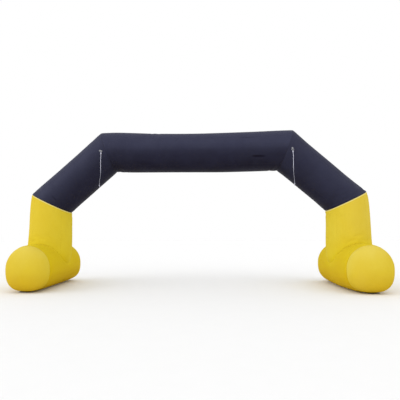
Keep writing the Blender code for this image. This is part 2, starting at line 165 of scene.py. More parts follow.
class Shader:
    # one material round its own Principled node
    def __init__(self, name, finish):
        self.material = bpy.data.materials.new(name)
        self.material.use_nodes = True
        self.tree = self.material.node_tree
        self.surface = self.tree.nodes["Principled BSDF"]
        self.join(self.surface, finish)

    def join(self, node, sockets):
        for key, value in sockets.items():
            if isinstance(value, Value):
                self.tree.links.new(value.socket, node.inputs[key])
            else:
                node.inputs[key].default_value = value

    def node(self, kind, settings=None, sockets=None, output=0):
        made = self.tree.nodes.new(kind)
        for key, value in (settings or {}).items():
            if key == "stops":
                ramp = made.color_ramp
                while len(ramp.elements) < len(value):
                    ramp.elements.new(0.5)
                for stop, (at, colour) in zip(ramp.elements, value):
                    stop.position, stop.color = at, (*colour, 1)
            else:
                setattr(made, key, value)
        self.join(made, sockets or {})
        return Value(self, made.outputs[output])

    def surfaceTakes(self, **sockets):
        self.join(self.surface, {key.replace("_", " "): value for key, value in sockets.items()})
        return self.material

    def place(self):
        return self.node("ShaderNodeTexCoord", output="Object")

    def clothMap(self):
        # places on the flat cloth, and their metres round or across it and along it
        flat = self.node("ShaderNodeUVMap", {"uv_map": "UVMap"})
        parts = self.tree.nodes.new("ShaderNodeSeparateXYZ")
        self.join(parts, {0: flat})
        return flat, Value(self, parts.outputs["X"]), Value(self, parts.outputs["Y"])

    def height(self, where):
        return self.node("ShaderNodeSeparateXYZ", None, {0: where}, "Z")

    def marked(self, name):
        return self.node("ShaderNodeAttribute", {"attribute_name": name}, output="Fac")

    def noise(self, where, scale, detail=2.0, roughness=0.5, distortion=0.0):
        return self.node("ShaderNodeTexNoise", None,
                         {"Vector": where, "Scale": scale, "Detail": detail,
                          "Roughness": roughness, "Distortion": distortion}, "Fac")

    def ramp(self, value, *stops):
        # spreads or narrows a value between grey levels
        return self.node("ShaderNodeValToRGB",
                         {"stops": [(at, (level,) * 3) for at, level in stops]}, {0: value})

    def mix(self, factor, first, second, blend="MIX"):
        made = self.tree.nodes.new("ShaderNodeMix")
        made.data_type, made.blend_type = "RGBA", blend
        for key, value in (("Factor_Float", factor), ("A_Color", first), ("B_Color", second)):
            socket = next(s for s in made.inputs if s.identifier == key)
            if isinstance(value, Value):
                self.tree.links.new(value.socket, socket)
            else:
                socket.default_value = value if key == "Factor_Float" else (*value, 1)
        return Value(self, next(s for s in made.outputs if s.identifier == "Result_Color"))

    def bump(self, height, distance, strength=1.0, over=None):
        sockets = {"Height": height, "Distance": distance, "Strength": strength}
        if over is not None:
            sockets["Normal"] = over
        return self.node("ShaderNodeBump", None, sockets)


# Finishes

# colours: painted shade underneath, cloth, painted light on top, painted highlight, cut hem (pale
# on
# the yellow cloth: a painted highlight), patches of the print, rubbed places, low places, thread,
# and soil (on the yellow cloth also painted shade near the ground)
clothLooks = {
    "darkCloth": {"under": (0.0045, 0.0030, 0.0110), "colour": (0.0205, 0.0210, 0.0410),
                  "faded": (0.0370, 0.0390, 0.0710), "mottle": 0.40,
                  "bloom": (0.20, 0.20, 0.22), "hem": (0.012, 0.010, 0.018),
                  "patch": (0.018, 0.018, 0.046), "patchAmount": 0.22,
                  "worn": (0.060, 0.060, 0.078), "low": (0.004, 0.003, 0.006),
                  "thread": (0.032, 0.032, 0.046), "soilAndLowShade": (0.05, 0.04, 0.03),
                  "soilAndLowShadeAmount": 0.10, "roughness": 0.58, "specular": 0.09},
    "yellowCloth": {"under": (0.56, 0.35, 0.003), "colour": (0.645, 0.475, 0.008),
                    "faded": (0.72, 0.59, 0.035), "mottle": 0.25,
                    "bloom": (0.66, 0.56, 0.55), "hem": (0.72, 0.62, 0.22),
                    "patch": (0.62, 0.43, 0.006), "patchAmount": 0.25,
                    "worn": (0.71, 0.56, 0.05), "low": (0.56, 0.36, 0.004),
                    "thread": (0.46, 0.31, 0.015), "soilAndLowShade": (0.50, 0.29, 0.004),
                    "soilAndLowShadeAmount": 0.20, "roughness": 0.68, "specular": 0.02},
}
weave = {"pitch": 0.0011, "height": 0.00025, "stitch": 0.0042, "stitchShare": 0.72,
         "threadHalf": 0.0006, "rows": (0.0038, 0.0098), "goreRows": (0.0030,),
         "seamLine": 0.0022, "seamShade": 0.5, "crinkleScale": 13.0, "crinkleHeight": 0.0045,
         "fineAmount": 0.10, "wornAmount": 0.16}
trimLooks = {
    "blackPad": {"colour": (0.012, 0.012, 0.013), "dust": (0.055, 0.050, 0.044),
                 "dustAmount": 0.45, "ribPitch": 0.008, "relief": 0.0004, "roughness": 0.62},
    "webbing": {"colour": (0.30, 0.30, 0.32), "dull": (0.22, 0.22, 0.24),
                "pick": (0.17, 0.17, 0.18), "edge": (0.15, 0.15, 0.16), "edgeWidth": 0.0022,
                "ribPitch": 0.0026, "pickPitch": 0.0014, "relief": 0.00035,
                "roughness": 0.72},
    "ringSteel": {"colour": (0.78, 0.78, 0.77), "dull": (0.60, 0.60, 0.58),
                  "relief": 0.0001, "roughness": 0.24},
    # painted shade: the rope is darker between these heights, each with how much it shows
    "rope": {"colour": (0.70, 0.70, 0.82), "dull": (0.54, 0.54, 0.64),
             "grime": (0.38, 0.37, 0.43), "paintedShadeBelow": (0.15, 0.15, 0.18), "paintedShadeBelowAmount": 0.80,
             "paintedShadeHeights": ((2.60, 0.4), (2.66, 1.0), (2.86, 1.0), (3.06, 0.0)),
             "yarnsAlong": 300.0, "yarnsRound": 160.0, "relief": 0.0004, "roughness": 0.72},
    "thread": {"colour": (0.30, 0.30, 0.32), "dull": (0.20, 0.20, 0.21), "roughness": 0.6},
}


def coatedCloth(name):
    look = clothLooks[name]
    shade = Shader(name, {"Specular IOR Level": look["specular"]})
    where = shade.place()
    flat, around, along = shade.clothMap()
    seam, gore = shade.marked("seam"), shade.marked("gore")

    # threads of the weave under the coating
    threads = ((around * (turn / weave["pitch"])).sine()
               * (along * (turn / weave["pitch"])).sine())
    # stitches of the end seams and of the lengthwise seams
    stitches = 0.0
    for away, rows, run in ((seam, weave["rows"], around), (gore, weave["goreRows"], along)):
        for at in rows:
            stitches = stitches + away.near(at, weave["threadHalf"]) * (
                (run / weave["stitch"]).fraction() < weave["stitchShare"])

    # patches of the print, pale rubbed places, and soil near the ground that is also painted shade,
    # darker and oranger low on the yellow cloth
    patch = shade.ramp(shade.noise(where, 1.7, 4.0, 0.62, 0.6), (0.38, 0.0), (0.68, 1.0))
    fine = shade.noise(where, 46.0, 3.0, 0.6)
    rubbed = shade.ramp(shade.noise(where, 9.0, 5.0, 0.7), (0.62, 0.0), (0.80, 1.0))
    soilAndLowShade = shade.ramp(shade.height(where) + shade.noise(where, 5.0, 4.0, 0.6) * 0.22,
                      (0.05, 1.0), (0.55, 0.0))
    # painted light and shade: the cloth is painted darker where it faces down and lighter where it
    # faces up
    faded = shade.marked("faded") + (shade.noise(where, 2.4, 3.0, 0.6) - 0.5) * look["mottle"]
    colour = shade.mix(shade.ramp(faded, (0.0, 0.0), (0.5, 1.0)), look["under"],
                       look["colour"])
    # layers over it: painted light on top, painted highlight, print patches, fine tone, wear, soil
    # (also painted shade on the yellow cloth), the hem (a painted highlight on the yellow legs),
    # the seam line and the stitches
    for amount, layer in ((shade.ramp(faded, (0.5, 0.0), (1.0, 1.0)), "faded"),
                          (shade.marked("bloom"), "bloom"),
                          (patch * look["patchAmount"], "patch"),
                          (fine * weave["fineAmount"], "low"),
                          (rubbed * weave["wornAmount"], "worn"),
                          (soilAndLowShade * look["soilAndLowShadeAmount"], "soilAndLowShade"), (shade.marked("hem"), "hem"),
                          ((seam < weave["seamLine"]) * weave["seamShade"], "low"),
                          (stitches, "thread")):
        colour = shade.mix(amount, colour, look[layer])

    crinkle = shade.noise(flat, weave["crinkleScale"], 5.0, 0.62, 0.25)
    normal = shade.bump(crinkle, weave["crinkleHeight"], 0.55)
    normal = shade.bump(threads * 0.5 + stitches * 1.6 + fine * 0.5, weave["height"], 0.6,
                        normal)
    roughness = look["roughness"] + (crinkle - 0.5) * 0.16 + (fine - 0.5) * 0.08 + soilAndLowShade * 0.12
    return shade.surfaceTakes(Base_Color=colour, Roughness=roughness, Normal=normal)


def matRubber(name):
    look = trimLooks[name]
    shade = Shader(name, {"Specular IOR Level": 0.4})
    _, across, along = shade.clothMap()
    ribs = (((across + along) * (turn / look["ribPitch"])).sine()
            * ((across - along) * (turn / look["ribPitch"])).sine())
    fine = shade.noise(shade.place(), 60.0, 4.0, 0.6)
    dust = shade.ramp(shade.noise(shade.place(), 7.0, 4.0, 0.65), (0.45, 0.0), (0.75, 1.0))
    colour = shade.mix(dust * look["dustAmount"], look["colour"], look["dust"])
    normal = shade.bump(ribs + fine * 0.4, look["relief"], 0.7)
    return shade.surfaceTakes(Base_Color=colour, Roughness=look["roughness"] + fine * 0.2,
                              Normal=normal)


def wovenWebbing(name):
    look = trimLooks[name]
    shade = Shader(name, {"Specular IOR Level": 0.35, "Sheen Weight": 0.25})
    _, across, along = shade.clothMap()
    ribs = (across * (turn / look["ribPitch"])).sine()
    picks = (along * (turn / look["pickPitch"]) + ribs * 1.2).sine()
    fine = shade.noise(shade.place(), 240.0, 3.0, 0.6)
    colour = shade.mix(fine * 0.6, look["colour"], look["dull"])
    colour = shade.mix((picks * 0.5 + 0.5) * 0.25, colour, look["pick"])
    colour = shade.mix((shade.marked("edge") < look["edgeWidth"]) * 0.35, colour, look["edge"])
    normal = shade.bump(ribs * 0.4 + picks * 0.5 + fine * 0.3, look["relief"], 0.8)
    return shade.surfaceTakes(Base_Color=colour, Roughness=look["roughness"] + fine * 0.15,
                              Normal=normal)


def platedSteel(name):
    look = trimLooks[name]
    shade = Shader(name, {"Metallic": 1.0})
    where = shade.place()
    blotches = shade.noise(where, 90.0, 4.0, 0.6)
    scratches = shade.noise(where, 900.0, 2.0, 0.5)
    colour = shade.mix(blotches * 0.5, look["colour"], look["dull"])
    normal = shade.bump(scratches, look["relief"], 0.3)
    return shade.surfaceTakes(Base_Color=colour, Roughness=look["roughness"] + blotches * 0.2,
                              Normal=normal)


def spunRope(name):
    look = trimLooks[name]
    shade = Shader(name, {"Specular IOR Level": 0.35, "Sheen Weight": 0.3})
    where = shade.place()
    _, around, along = shade.clothMap()
    yarns = (along * look["yarnsAlong"] + around * look["yarnsRound"]).sine()
    fine = shade.noise(where, 700.0, 3.0, 0.6)
    grime = shade.ramp(shade.noise(where, 22.0, 4.0, 0.6), (0.45, 0.0), (0.8, 1.0))
    colour = shade.mix(fine * 0.4, look["colour"], look["dull"])
    colour = shade.mix(grime * 0.3, colour, look["grime"])
    # painted shade, darker towards the lower end; a ramp runs from 0 to 1, so the heights are
    # scaled
    paintedShadeBelow = shade.ramp(shade.height(where) / 4,
                         *((z / 4, level) for z, level in look["paintedShadeHeights"]))
    colour = shade.mix(paintedShadeBelow * look["paintedShadeBelowAmount"], colour, look["paintedShadeBelow"])
    normal = shade.bump(yarns * 0.6 + fine * 0.5, look["relief"], 0.7)
    return shade.surfaceTakes(Base_Color=colour, Roughness=look["roughness"] + fine * 0.15,
                              Normal=normal)


def stitchThread(name):
    look = trimLooks[name]
    shade = Shader(name, {"Specular IOR Level": 0.45})
    fine = shade.noise(shade.place(), 1500.0, 2.0, 0.5)
    colour = shade.mix(fine, look["colour"], look["dull"])
    return shade.surfaceTakes(Base_Color=colour, Roughness=look["roughness"] + fine * 0.1)


finishes = {"darkCloth": coatedCloth("darkCloth"), "yellowCloth": coatedCloth("yellowCloth"),
            "blackPad": matRubber("blackPad"), "webbing": wovenWebbing("webbing"),
            "steel": platedSteel("ringSteel"), "rope": spunRope("rope"),
            "thread": stitchThread("thread")}
print("finishes made")


# Cloth

# X and Z of the places where the axes of two tubes meet, and of the feet
arch = {"tubeRadius": 0.50, "shoulder": (2.285, 3.512), "knee": (3.828, 2.176),
        "footX": 3.97, "footAxisZ": 0.553, "kneeLift": 0.024, "beamAxisDrop": 0.02}
cloth = {"columns": 264, "rowStep": 0.020, "wallRows": (0.86, 0.5, 0.0),
         # distance of the rows beside an end seam
         "seamRows": (0, 0.0011, 0.0025, 0.0038, 0.0052, 0.0075, 0.0098, 0.0115, 0.0135,
                      0.0165, 0.021, 0.027, 0.035, 0.045, 0.057, 0.072, 0.090),
         "goreAngles": (56, 138, 222, 304),        # lengthwise seams, from the outer side round
         "goreClear": 1.15,                        # of the outermost of the columns below
         "goreColumns": (-0.030, -0.018, -0.010, -0.0055, -0.003, -0.0012, 0, 0.0012, 0.003,
                         0.0055, 0.010, 0.018, 0.030),
         "drawIn": 0.0055, "drawReach": 0.017,     # the cloth pulled in towards a seam
         "fell": 0.0011, "fellWidth": 0.0125,      # the folded seam allowance
         "fellEdge": 0.0022, "fellRim": 0.0024, "fellLeast": 0.25,
         "stitchDip": 0.0004, "stitchWidth": 0.0010,
         "pucker": 0.0016, "puckerReach": 0.030, "puckerStart": 0.008,
         "puckerRound": 0.05, "fold": 0.0030, "foldReach": 0.110, "foldRound": 0.08,
         "ridge": 0.8, "smoothest": 0.35, "calmReach": 0.25,
         "shoulderTightness": 0.5, "swell": 0.0022, "stillReach": 0.07,
         "goreDraw": 0.0016, "goreReach": 0.012, "ripple": 0.0009, "rippleReach": 0.035,
         "goreDip": 0.0006, "goreDipAt": 0.003, "goreDipWidth": 0.0012,
         # smooth waves: how often round the tube, how long along it, and how many are added up
         "puckerWaves": ((30, 54), (0.5, 1.5), 4), "foldWaves": ((9, 22), (0.5, 1.6), 4),
         "clusterWaves": ((2, 7), (1, 2), 3), "swellWaves": ((1, 5), (0.9, 3.0), 5),
         "rippleWaves": ((0, 1), (0.09, 0.26), 4)}
darkCloth = (finishes["darkCloth"], "dark_cloth")
yellowCloth = (finishes["yellowCloth"], "yellow_cloth")
seeds = {"beam": 11, "slant_left": 12, "slant_right": 13, "leg_left": 14, "leg_right": 15,
         "foot_left": 16, "foot_right": 17, "cap_left_front": 18, "cap_left_back": 19,
         "cap_right_front": 20, "cap_right_back": 21}


def smoothCurve(at, level, where):
    # values between those known, on a smooth curve
    slope = np.gradient(level, at, axis=0)
    k = np.clip(np.searchsorted(at, where, side="right") - 1, 0, len(at) - 2)
    spread = (...,) + (None,) * (level.ndim - 1)
    width = (at[k + 1] - at[k])[spread]
    t = np.clip((where - at[k])[spread] / width, 0, 1)
    return (level[k] * (1 + 2 * t) * (1 - t) ** 2 + slope[k] * width * t * (1 - t) ** 2
            + level[k + 1] * t ** 2 * (3 - 2 * t) + slope[k + 1] * width * t ** 2 * (t - 1))


def smoothTable(rows, share, column):
    table = np.array(rows)
    return smoothCurve(table[:, 0], table[:, column], share)


def columnAngles(gores, radius):
    # angles of the columns, closer beside the lengthwise seams, first and last the same place
    angles = {k * turn / cloth["columns"] for k in range(cloth["columns"])}
    for gore in gores:
        middle = math.radians(gore)
        reach = cloth["goreColumns"][-1] / radius
        angles = {a for a in angles if abs(a - middle) > reach * cloth["goreClear"]}
        angles |= {middle + offset / radius for offset in cloth["goreColumns"]}
    angles = sorted(angles - {0.0})
    return np.array([0.0] + angles + [turn])


def goreDistance(angles, gores, radius):
    if not gores:
        return np.full(len(angles), 1.0)
    return np.min([np.abs(angles - math.radians(g)) for g in gores], axis=0) * radius


def rowDistances(lengths):
    # distance of each row from the first seam, for each column's own length
    near = np.array(cloth["seamRows"])
    count = max(3, round((lengths.mean() - 2 * near[-1]) / cloth["rowStep"]))
    middle = np.arange(1, count) / count
    first = np.repeat(near[:, None], len(lengths), axis=1)
    inner = near[-1] + middle[:, None] * (lengths[None, :] - 2 * near[-1])
    return np.concatenate([first, inner, lengths[None, :] - first[::-1]])


air = {"pressure": 4.0, "frames": 18, "net": 0.042, "quality": 5, "mass": 0.3, "tension": 40.0,
       "bending": 1.5, "grow": 0.004, "most": 0.0075, "weld": 0.0005, "point": 0.01}


def netLines(at):
    # rows or columns about one mesh of the net apart, from the first to the last
    picked = [0]
    for k in range(1, len(at) - 1):
        if min(at[k] - at[picked[-1]], at[-1] - at[k]) >= air["net"]:
            picked.append(k)
    return picked + [len(at) - 1]


class Sheet:
    # one cut of cloth: its columns go round the tube, its rows along it from seam to seam
    def __init__(self, name, angles, gores, radius, distance, lengths=None):
        self.name, self.angles, self.radius, self.distance = name, angles, radius, distance
        self.toSeam = distance if lengths is None else np.minimum(distance, lengths - distance)
        self.toGore = np.repeat(goreDistance(angles, gores, radius)[None], len(distance), 0)


def blown(sheet, places):
    # air presses the plain cloth out, worked on a coarser net whose ends the seams hold:
    # gives how far each place moves
    rowAt, columnAt = sheet.distance.mean(axis=1), sheet.angles * sheet.radius
    rows, columns = netLines(rowAt), netLines(columnAt)
    net = addGrid("net", len(columns), len(rows))
    net.data.vertices.foreach_set("co", places[np.ix_(rows, columns)].reshape(-1)
                                  .astype(np.float32))
    count = len(net.data.vertices)
    net.data.attributes.new("number", "INT", "POINT").data.foreach_set("value", range(count))
    weld(net, distance=air["weld"], smoothDegrees=180)
    number = np.zeros(len(net.data.vertices), np.int32)
    net.data.attributes["number"].data.foreach_get("value", number)
    held = net.vertex_groups.new(name="held")
    # a cap's last row is one point, which stays free
    last = len(rows) - 1 if np.ptp(places[-1], axis=0).max() > air["point"] else len(rows)
    held.add([k for k, n in enumerate(number.tolist()) if n // len(columns) in (0, last)],
             1, "REPLACE")
    before, after = (np.zeros(len(number) * 3, np.float32) for _ in range(2))
    net.data.vertices.foreach_get("co", before)
    pressed = net.modifiers.new("air", "CLOTH")
    settings = pressed.settings
    settings.quality, settings.mass = air["quality"], air["mass"]
    settings.tension_stiffness = settings.compression_stiffness = air["tension"]
    settings.bending_stiffness = air["bending"]
    settings.vertex_group_mass = "held"
    settings.use_pressure, settings.uniform_pressure_force = True, air["pressure"]
    settings.shrink_min = -air["grow"]
    settings.effector_weights.gravity = 0
    pressed.point_cache.frame_start, pressed.point_cache.frame_end = 1, air["frames"]
    for frameNumber in range(1, air["frames"] + 1):
        bpy.context.scene.frame_set(frameNumber)
    pick(net)
    bpy.ops.object.modifier_apply(modifier="air")
    net.data.vertices.foreach_get("co", after)
    bpy.data.objects.remove(net)
    bpy.context.scene.frame_set(1)
    moved = np.full((count, 3), np.nan)
    moved[number] = (after - before).reshape(-1, 3)
    moved = moved.reshape(len(rows), len(columns), 3)
    # welded places move with the one that was kept
    moved[:, 0] = moved[:, -1] = np.where(np.isnan(moved[:, 0]), moved[:, -1], moved[:, 0])
    moved[-1] = np.where(np.isnan(moved[-1]), np.nanmean(moved[-1], axis=0), moved[-1])
    length = np.linalg.norm(moved, axis=-1, keepdims=True)      # never more than the most
    moved *= air["most"] / np.hypot(air["most"], length)
    moved = smoothCurve(rowAt[rows], moved, rowAt)
    return smoothCurve(columnAt[columns], moved.swapaxes(0, 1), columnAt).swapaxes(0, 1)


def waves(random, angles, along, turns, lengths, count):
    # a sum of smooth waves round a tube and along it
    total = np.zeros(np.broadcast(angles, along).shape)
    for _ in range(count):
        total += np.sin(random.randint(*turns) * angles + turn / random.uniform(*lengths)
                        * random.choice((-1, 1)) * along + random.uniform(0, turn))
    return total / math.sqrt(count)


def clothLift(sheet, along, tight=1.0):
    # how far the cloth stands off its plain shape: seams, puckers, folds and swell
    random = np.random.RandomState(seeds[sheet.name])
    angles, toSeam, toGore = sheet.angles[None, :], sheet.toSeam, sheet.toGore
    drawn = -cloth["drawIn"] * tight * np.exp(-toSeam / cloth["drawReach"])
    edge = np.clip((cloth["fellWidth"] - toSeam) / cloth["fellEdge"], 0, 1)
    rim = np.clip(toSeam / cloth["fellRim"], 0, 1)
    fell = cloth["fell"] * edge ** 2 * (3 - 2 * edge) * (
        cloth["fellLeast"] + (1 - cloth["fellLeast"]) * rim)
    for row in weave["rows"]:
        fell = fell - cloth["stitchDip"] * np.exp(-((toSeam - row) / cloth["stitchWidth"]) ** 2)
    small = waves(random, angles, along, *cloth["puckerWaves"])
    large = waves(random, angles, along, *cloth["foldWaves"])
    clusters = cloth["smoothest"] + (1 - cloth["smoothest"]) * np.clip(
        waves(random, angles, along * 0, *cloth["clusterWaves"]) * 0.5 + 0.5, 0, 1)
    start = 1 - np.exp(-toSeam / cloth["puckerStart"])
    puckers = cloth["pucker"] * (np.sqrt(small ** 2 + cloth["puckerRound"]) - cloth["ridge"]) \
        * np.exp(-toSeam / cloth["puckerReach"])
    folds = cloth["fold"] * (np.sqrt(large ** 2 + cloth["foldRound"]) - cloth["ridge"]) \
        * np.exp(-toSeam / cloth["foldReach"])
    calm = 1 - np.exp(-(toSeam / cloth["calmReach"]) ** 2)
    swell = cloth["swell"] * waves(random, angles, along, *cloth["swellWaves"]) * calm
    ripple = waves(random, angles * 0, along, *cloth["rippleWaves"])
    gores = (-cloth["goreDraw"] * np.exp(-(toGore / cloth["goreReach"]) ** 2)
             + cloth["ripple"] * ripple * np.exp(-toGore / cloth["rippleReach"])
             - cloth["goreDip"] * np.exp(-((toGore - cloth["goreDipAt"])
                                           / cloth["goreDipWidth"]) ** 2)) * calm
    return drawn + fell * tight + start * clusters * tight * (puckers + folds) + swell + gores


# painted light and shade: how light the cloth is painted, by how much it faces up: -1 underneath
# and 1 on top
paintedLightLevels = {"beam": ((-1, 0.02), (-0.7, 0.16), (-0.5, 0.25), (-0.3, 0.31), (-0.1, 0.46),
                  (0.1, 0.78), (0.3, 0.96), (1, 1.0)),
         "slant_left": ((-1, 0.02), (-0.7, 0.14), (-0.5, 0.28), (-0.3, 0.36), (-0.1, 0.56),
                        (0.1, 0.74), (0.3, 0.95), (1, 1.0)),
         "slant_right": ((-1, 0.05), (-0.7, 0.20), (-0.5, 0.38), (-0.3, 0.48), (-0.1, 0.60),
                         (0.1, 0.66), (0.3, 0.79), (1, 0.80)),
         "leg": ((-1, 0.60), (1, 0.64)),
         "foot": ((-1, 0.05), (-0.5, 0.15), (-0.3, 0.21), (-0.1, 0.36), (0.1, 0.40),
                  (0.3, 0.47), (0.5, 0.54), (1, 0.72)),
         "cap": ((-1, 0.05), (-0.7, 0.18), (-0.5, 0.31), (-0.3, 0.40), (-0.1, 0.53),
                 (0.1, 0.60), (0.3, 0.63), (0.5, 0.71), (0.7, 0.80), (1, 0.95))}

# how much painted highlight lies on the yellow cloth
paintedHighlights = {"cap": ((-1, 0.014), (-0.5, 0.040), (0, 0.060), (0.4, 0.074), (0.7, 0.110),
                  (1, 0.150)),
          "side": {"left": 0.95, "right": 1.08}, "inner": {"left": 0.0, "right": 0.020},
          "leg": {"left": 0.055, "right": 0.085}, "foot": {"left": 0.004, "right": 0.012}}


def mark(rows, way):
    # the level for how far each place faces up
    at, level = zip(*rows)
    return np.interp(way[..., 2], at, level)


def flatWall(ring, share):
    # a hidden row of the wall across a tube's end
    middle = ring[:-1].mean(axis=0)
    return middle + (ring - middle) * share


def sameRow(ring, _):
    return ring


def withWalls(rows, first, last):
    # adds hidden rows inside the ends that have a wall
    before = [first(rows[0], share) for share in cloth["wallRows"][::-1]] if first else []
    after = [last(rows[-1], share) for share in cloth["wallRows"]] if last else []
    return np.array([*before, *rows, *after])


def sewnPiece(sheet, places, along, marks, finish, slot, walls=(flatWall, flatWall)):
    # a flat sheet of cloth, shaped, sewn up along its edges and closed at its ends
    same = [wall and sameRow for wall in walls]
    around = np.repeat(sheet.angles[None] * sheet.radius, len(places), 0)
    places = withWalls(places, *walls)
    rows, columns = places.shape[:2]
    piece = addGrid(sheet.name + "_cloth", columns, rows)
    mesh = piece.data
    mesh.vertices.foreach_set("co", places.reshape(-1).astype(np.float32))
    number = np.zeros(len(mesh.loops), np.int32)
    mesh.loops.foreach_get("vertex_index", number)
    flat = np.stack([withWalls(values, *same).reshape(-1)[number]
                     for values in (around, along)], axis=1)
    mesh.uv_layers[0].name = "UVMap"
    mesh.uv_layers[0].data.foreach_set("uv", flat.reshape(-1).astype(np.float32))
    for title, values in {"seam": sheet.toSeam, "gore": sheet.toGore, **marks}.items():
        mesh.attributes.new(title, "FLOAT", "POINT").data.foreach_set(
            "value", withWalls(values, *same).reshape(-1).astype(np.float32))
    mesh.update()
    weld(piece, distance=0.00005, smoothDegrees=32)
    dress(piece, finish, slot, sheet.name)
    return piece


def section(centre, outward, halfLength, halfWidth, angles):
    return (np.array(centre)[None, :]
            + np.outer(np.cos(angles) * halfLength, np.array(outward))
            + np.outer(np.sin(angles) * halfWidth, np.array(yAxis)))


def mitre(angles, joint, before, after, setback, lift=0.0):
    # the seam where two tubes meet, lifted most on its inner side
    across = (before + after).normalized()
    ring = section(joint + across * setback, across.cross(yAxis),
                   arch["tubeRadius"] / across.dot(before), arch["tubeRadius"], angles)
    return ring + np.outer(lift * (1 - ((1 + np.cos(angles)) / 2) ** 2), np.array(across))


def archWays(side):
    up = Vector((arch["footX"] - arch["knee"][0], 0, arch["knee"][1] - arch["footAxisZ"]))
    over = Vector((arch["knee"][0] - arch["shoulder"][0], 0,
                   arch["shoulder"][1] - arch["knee"][1]))
    up.normalize()
    over.normalize()
    if side > 0:
        up.z, over.z = -up.z, -over.z
    return up, over


def corner(name, side):
    x, z = arch[name]
    return Vector((side * x, 0, z))


def loft(first, last, share, fullness, shift):
    # rows between two rings at each column's own share
    middle = (first[:-1].mean(axis=0) * (1 - share.mean(axis=1))[:, None]
              + last[:-1].mean(axis=0) * share.mean(axis=1)[:, None])[:, None, :]
    ring = first[None] * (1 - share)[..., None] + last[None] * share[..., None]
    return middle + (ring - middle) * fullness[..., None] + shift


def outwards(places, axisStart, axisWay):
    # unit vectors away from a straight axis
    start, way = np.array(axisStart), np.array(axisWay)
    off = places - start
    off = off - (off @ way)[..., None] * way
    return off / np.linalg.norm(off, axis=-1, keepdims=True)


def calmNear(places, spots, reach):
    # 0 at the fittings and 1 away from them, so that the cloth lies still under them
    still = np.ones(places.shape[:2])
    for spot in spots:
        still *= 1 - np.exp(-(np.linalg.norm(places - np.array(spot), axis=-1) / reach) ** 2)
    return still


def tube(name, first, last, rows, axisStart, axisWay, tightness, spots=()):
    angles = columnAngles(cloth["goreAngles"], arch["tubeRadius"])
    first, last = mitre(angles, *first), mitre(angles, *last)
    lengths = np.linalg.norm(last - first, axis=1)
    distance = rowDistances(lengths)
    sheet = Sheet(name, angles, cloth["goreAngles"], arch["tubeRadius"], distance, lengths)
    share = distance / lengths
    shift = np.zeros((*share.shape, 3))
    shift[..., 2] = -smoothTable(rows, share, 2)
    places = loft(first, last, share, smoothTable(rows, share, 1), shift)
    way = outwards(places, axisStart, axisWay)
    moved = blown(sheet, places)
    along = (places - np.array(axisStart)) @ np.array(axisWay)
    lift = clothLift(sheet, along, np.where(distance < lengths / 2, *tightness))
    fold, paintedCreaseShade = creaseLift(name, places)
    # painted light by facing, less the painted shade in the bottoms of the creases
    faded = mark(paintedLightLevels[name], way) - paintedCreaseShade
    still = calmNear(places, spots, cloth["stillReach"])[..., None]
    places = places + (way * (lift + fold)[..., None] + moved) * still
    return sewnPiece(sheet, places, along, {"faded": faded}, *darkCloth)


# short folds pressed into the front of a tube: where from and to, depth, half width and how much
# painted shade lies in their bottoms
creases = {"beam": (((1.39, -0.449, 3.299), (1.72, -0.447, 3.291), 0.018, 0.018, 1.60),
                    ((1.10, -0.420, 3.763), (1.49, -0.425, 3.756), 0.003, 0.012, 0.40)),
           "slant_left": (((-3.64, -0.502, 2.344), (-3.54, -0.480, 2.234), 0.006, 0.013, 1.00),)}
creaseShape = {"ends": 0.02, "taper": 0.7, "lip": 0.3}


def creaseLift(name, places):
    # the folds with a soft lip on each side, and how much painted shade lies in their bottoms
    lift, paintedCreaseShade = np.zeros(places.shape[:2]), np.zeros(places.shape[:2])
    for start, end, depth, width, shade in creases.get(name, ()):
        line = np.array(end) - start
        at = np.clip((places - start) @ line / (line @ line), 0, 1)
        off = np.linalg.norm(places - start - at[..., None] * line, axis=-1)
        within = np.clip(at, creaseShape["ends"], 1 - creaseShape["ends"])
        lens = np.sin(np.pi * within) ** creaseShape["taper"]
        bottom = lens * np.exp(-(off / width) ** 2)
        lip = lens * np.exp(-((off - 2 * width) / width) ** 2)
        lift += depth * (creaseShape["lip"] * lip - bottom)
        paintedCreaseShade += shade * bottom
    return lift, paintedCreaseShade


# share of the length, fullness and sag of each tube, from its first seam to its second
beamRows = ((0.000, 1.006, -0.002), (0.080, 1.025, 0.001), (0.180, 1.014, 0.011),
            (0.320, 0.990, 0.028), (0.500, 0.985, 0.037), (0.660, 1.000, 0.035),
            (0.800, 1.006, 0.024), (0.920, 1.012, 0.012), (1.000, 1.016, 0.005))


def addBeam():
    way = Vector((1, 0, 0))
    first, last = ((corner("shoulder", side), archWays(side)[1], way, -side * gap / 2)
                   for side in (-1, 1))
    start = corner("shoulder", -1) - Vector((0, 0, arch["beamAxisDrop"]))
    return tube("beam", first, last, beamRows, start, way, (cloth["shoulderTightness"],) * 2)


# the same for a slanting tube, from the knee up
slantRows = {"left": ((0.000, 1.026, 0.000), (0.200, 1.016, -0.002), (0.500, 1.009, 0.007),
                      (0.800, 1.003, 0.009), (1.000, 1.006, -0.002)),
             "right": ((0.000, 1.010, 0.000), (0.200, 0.990, 0.004), (0.500, 0.982, 0.009),
                       (0.800, 0.990, 0.006), (1.000, 1.016, 0.005))}


def addSlant(label, side, spots):
    up, over = archWays(side)
    knee, shoulder = corner("knee", side), corner("shoulder", side)
    low = (knee, up, over, -side * gap / 2, -side * arch["kneeLift"])
    high = (shoulder, over, Vector((1, 0, 0)), side * gap / 2)
    return tube("slant_" + label, low, high, slantRows[label], knee,
                (shoulder - knee).normalized(), (1, cloth["shoulderTightness"]), spots)


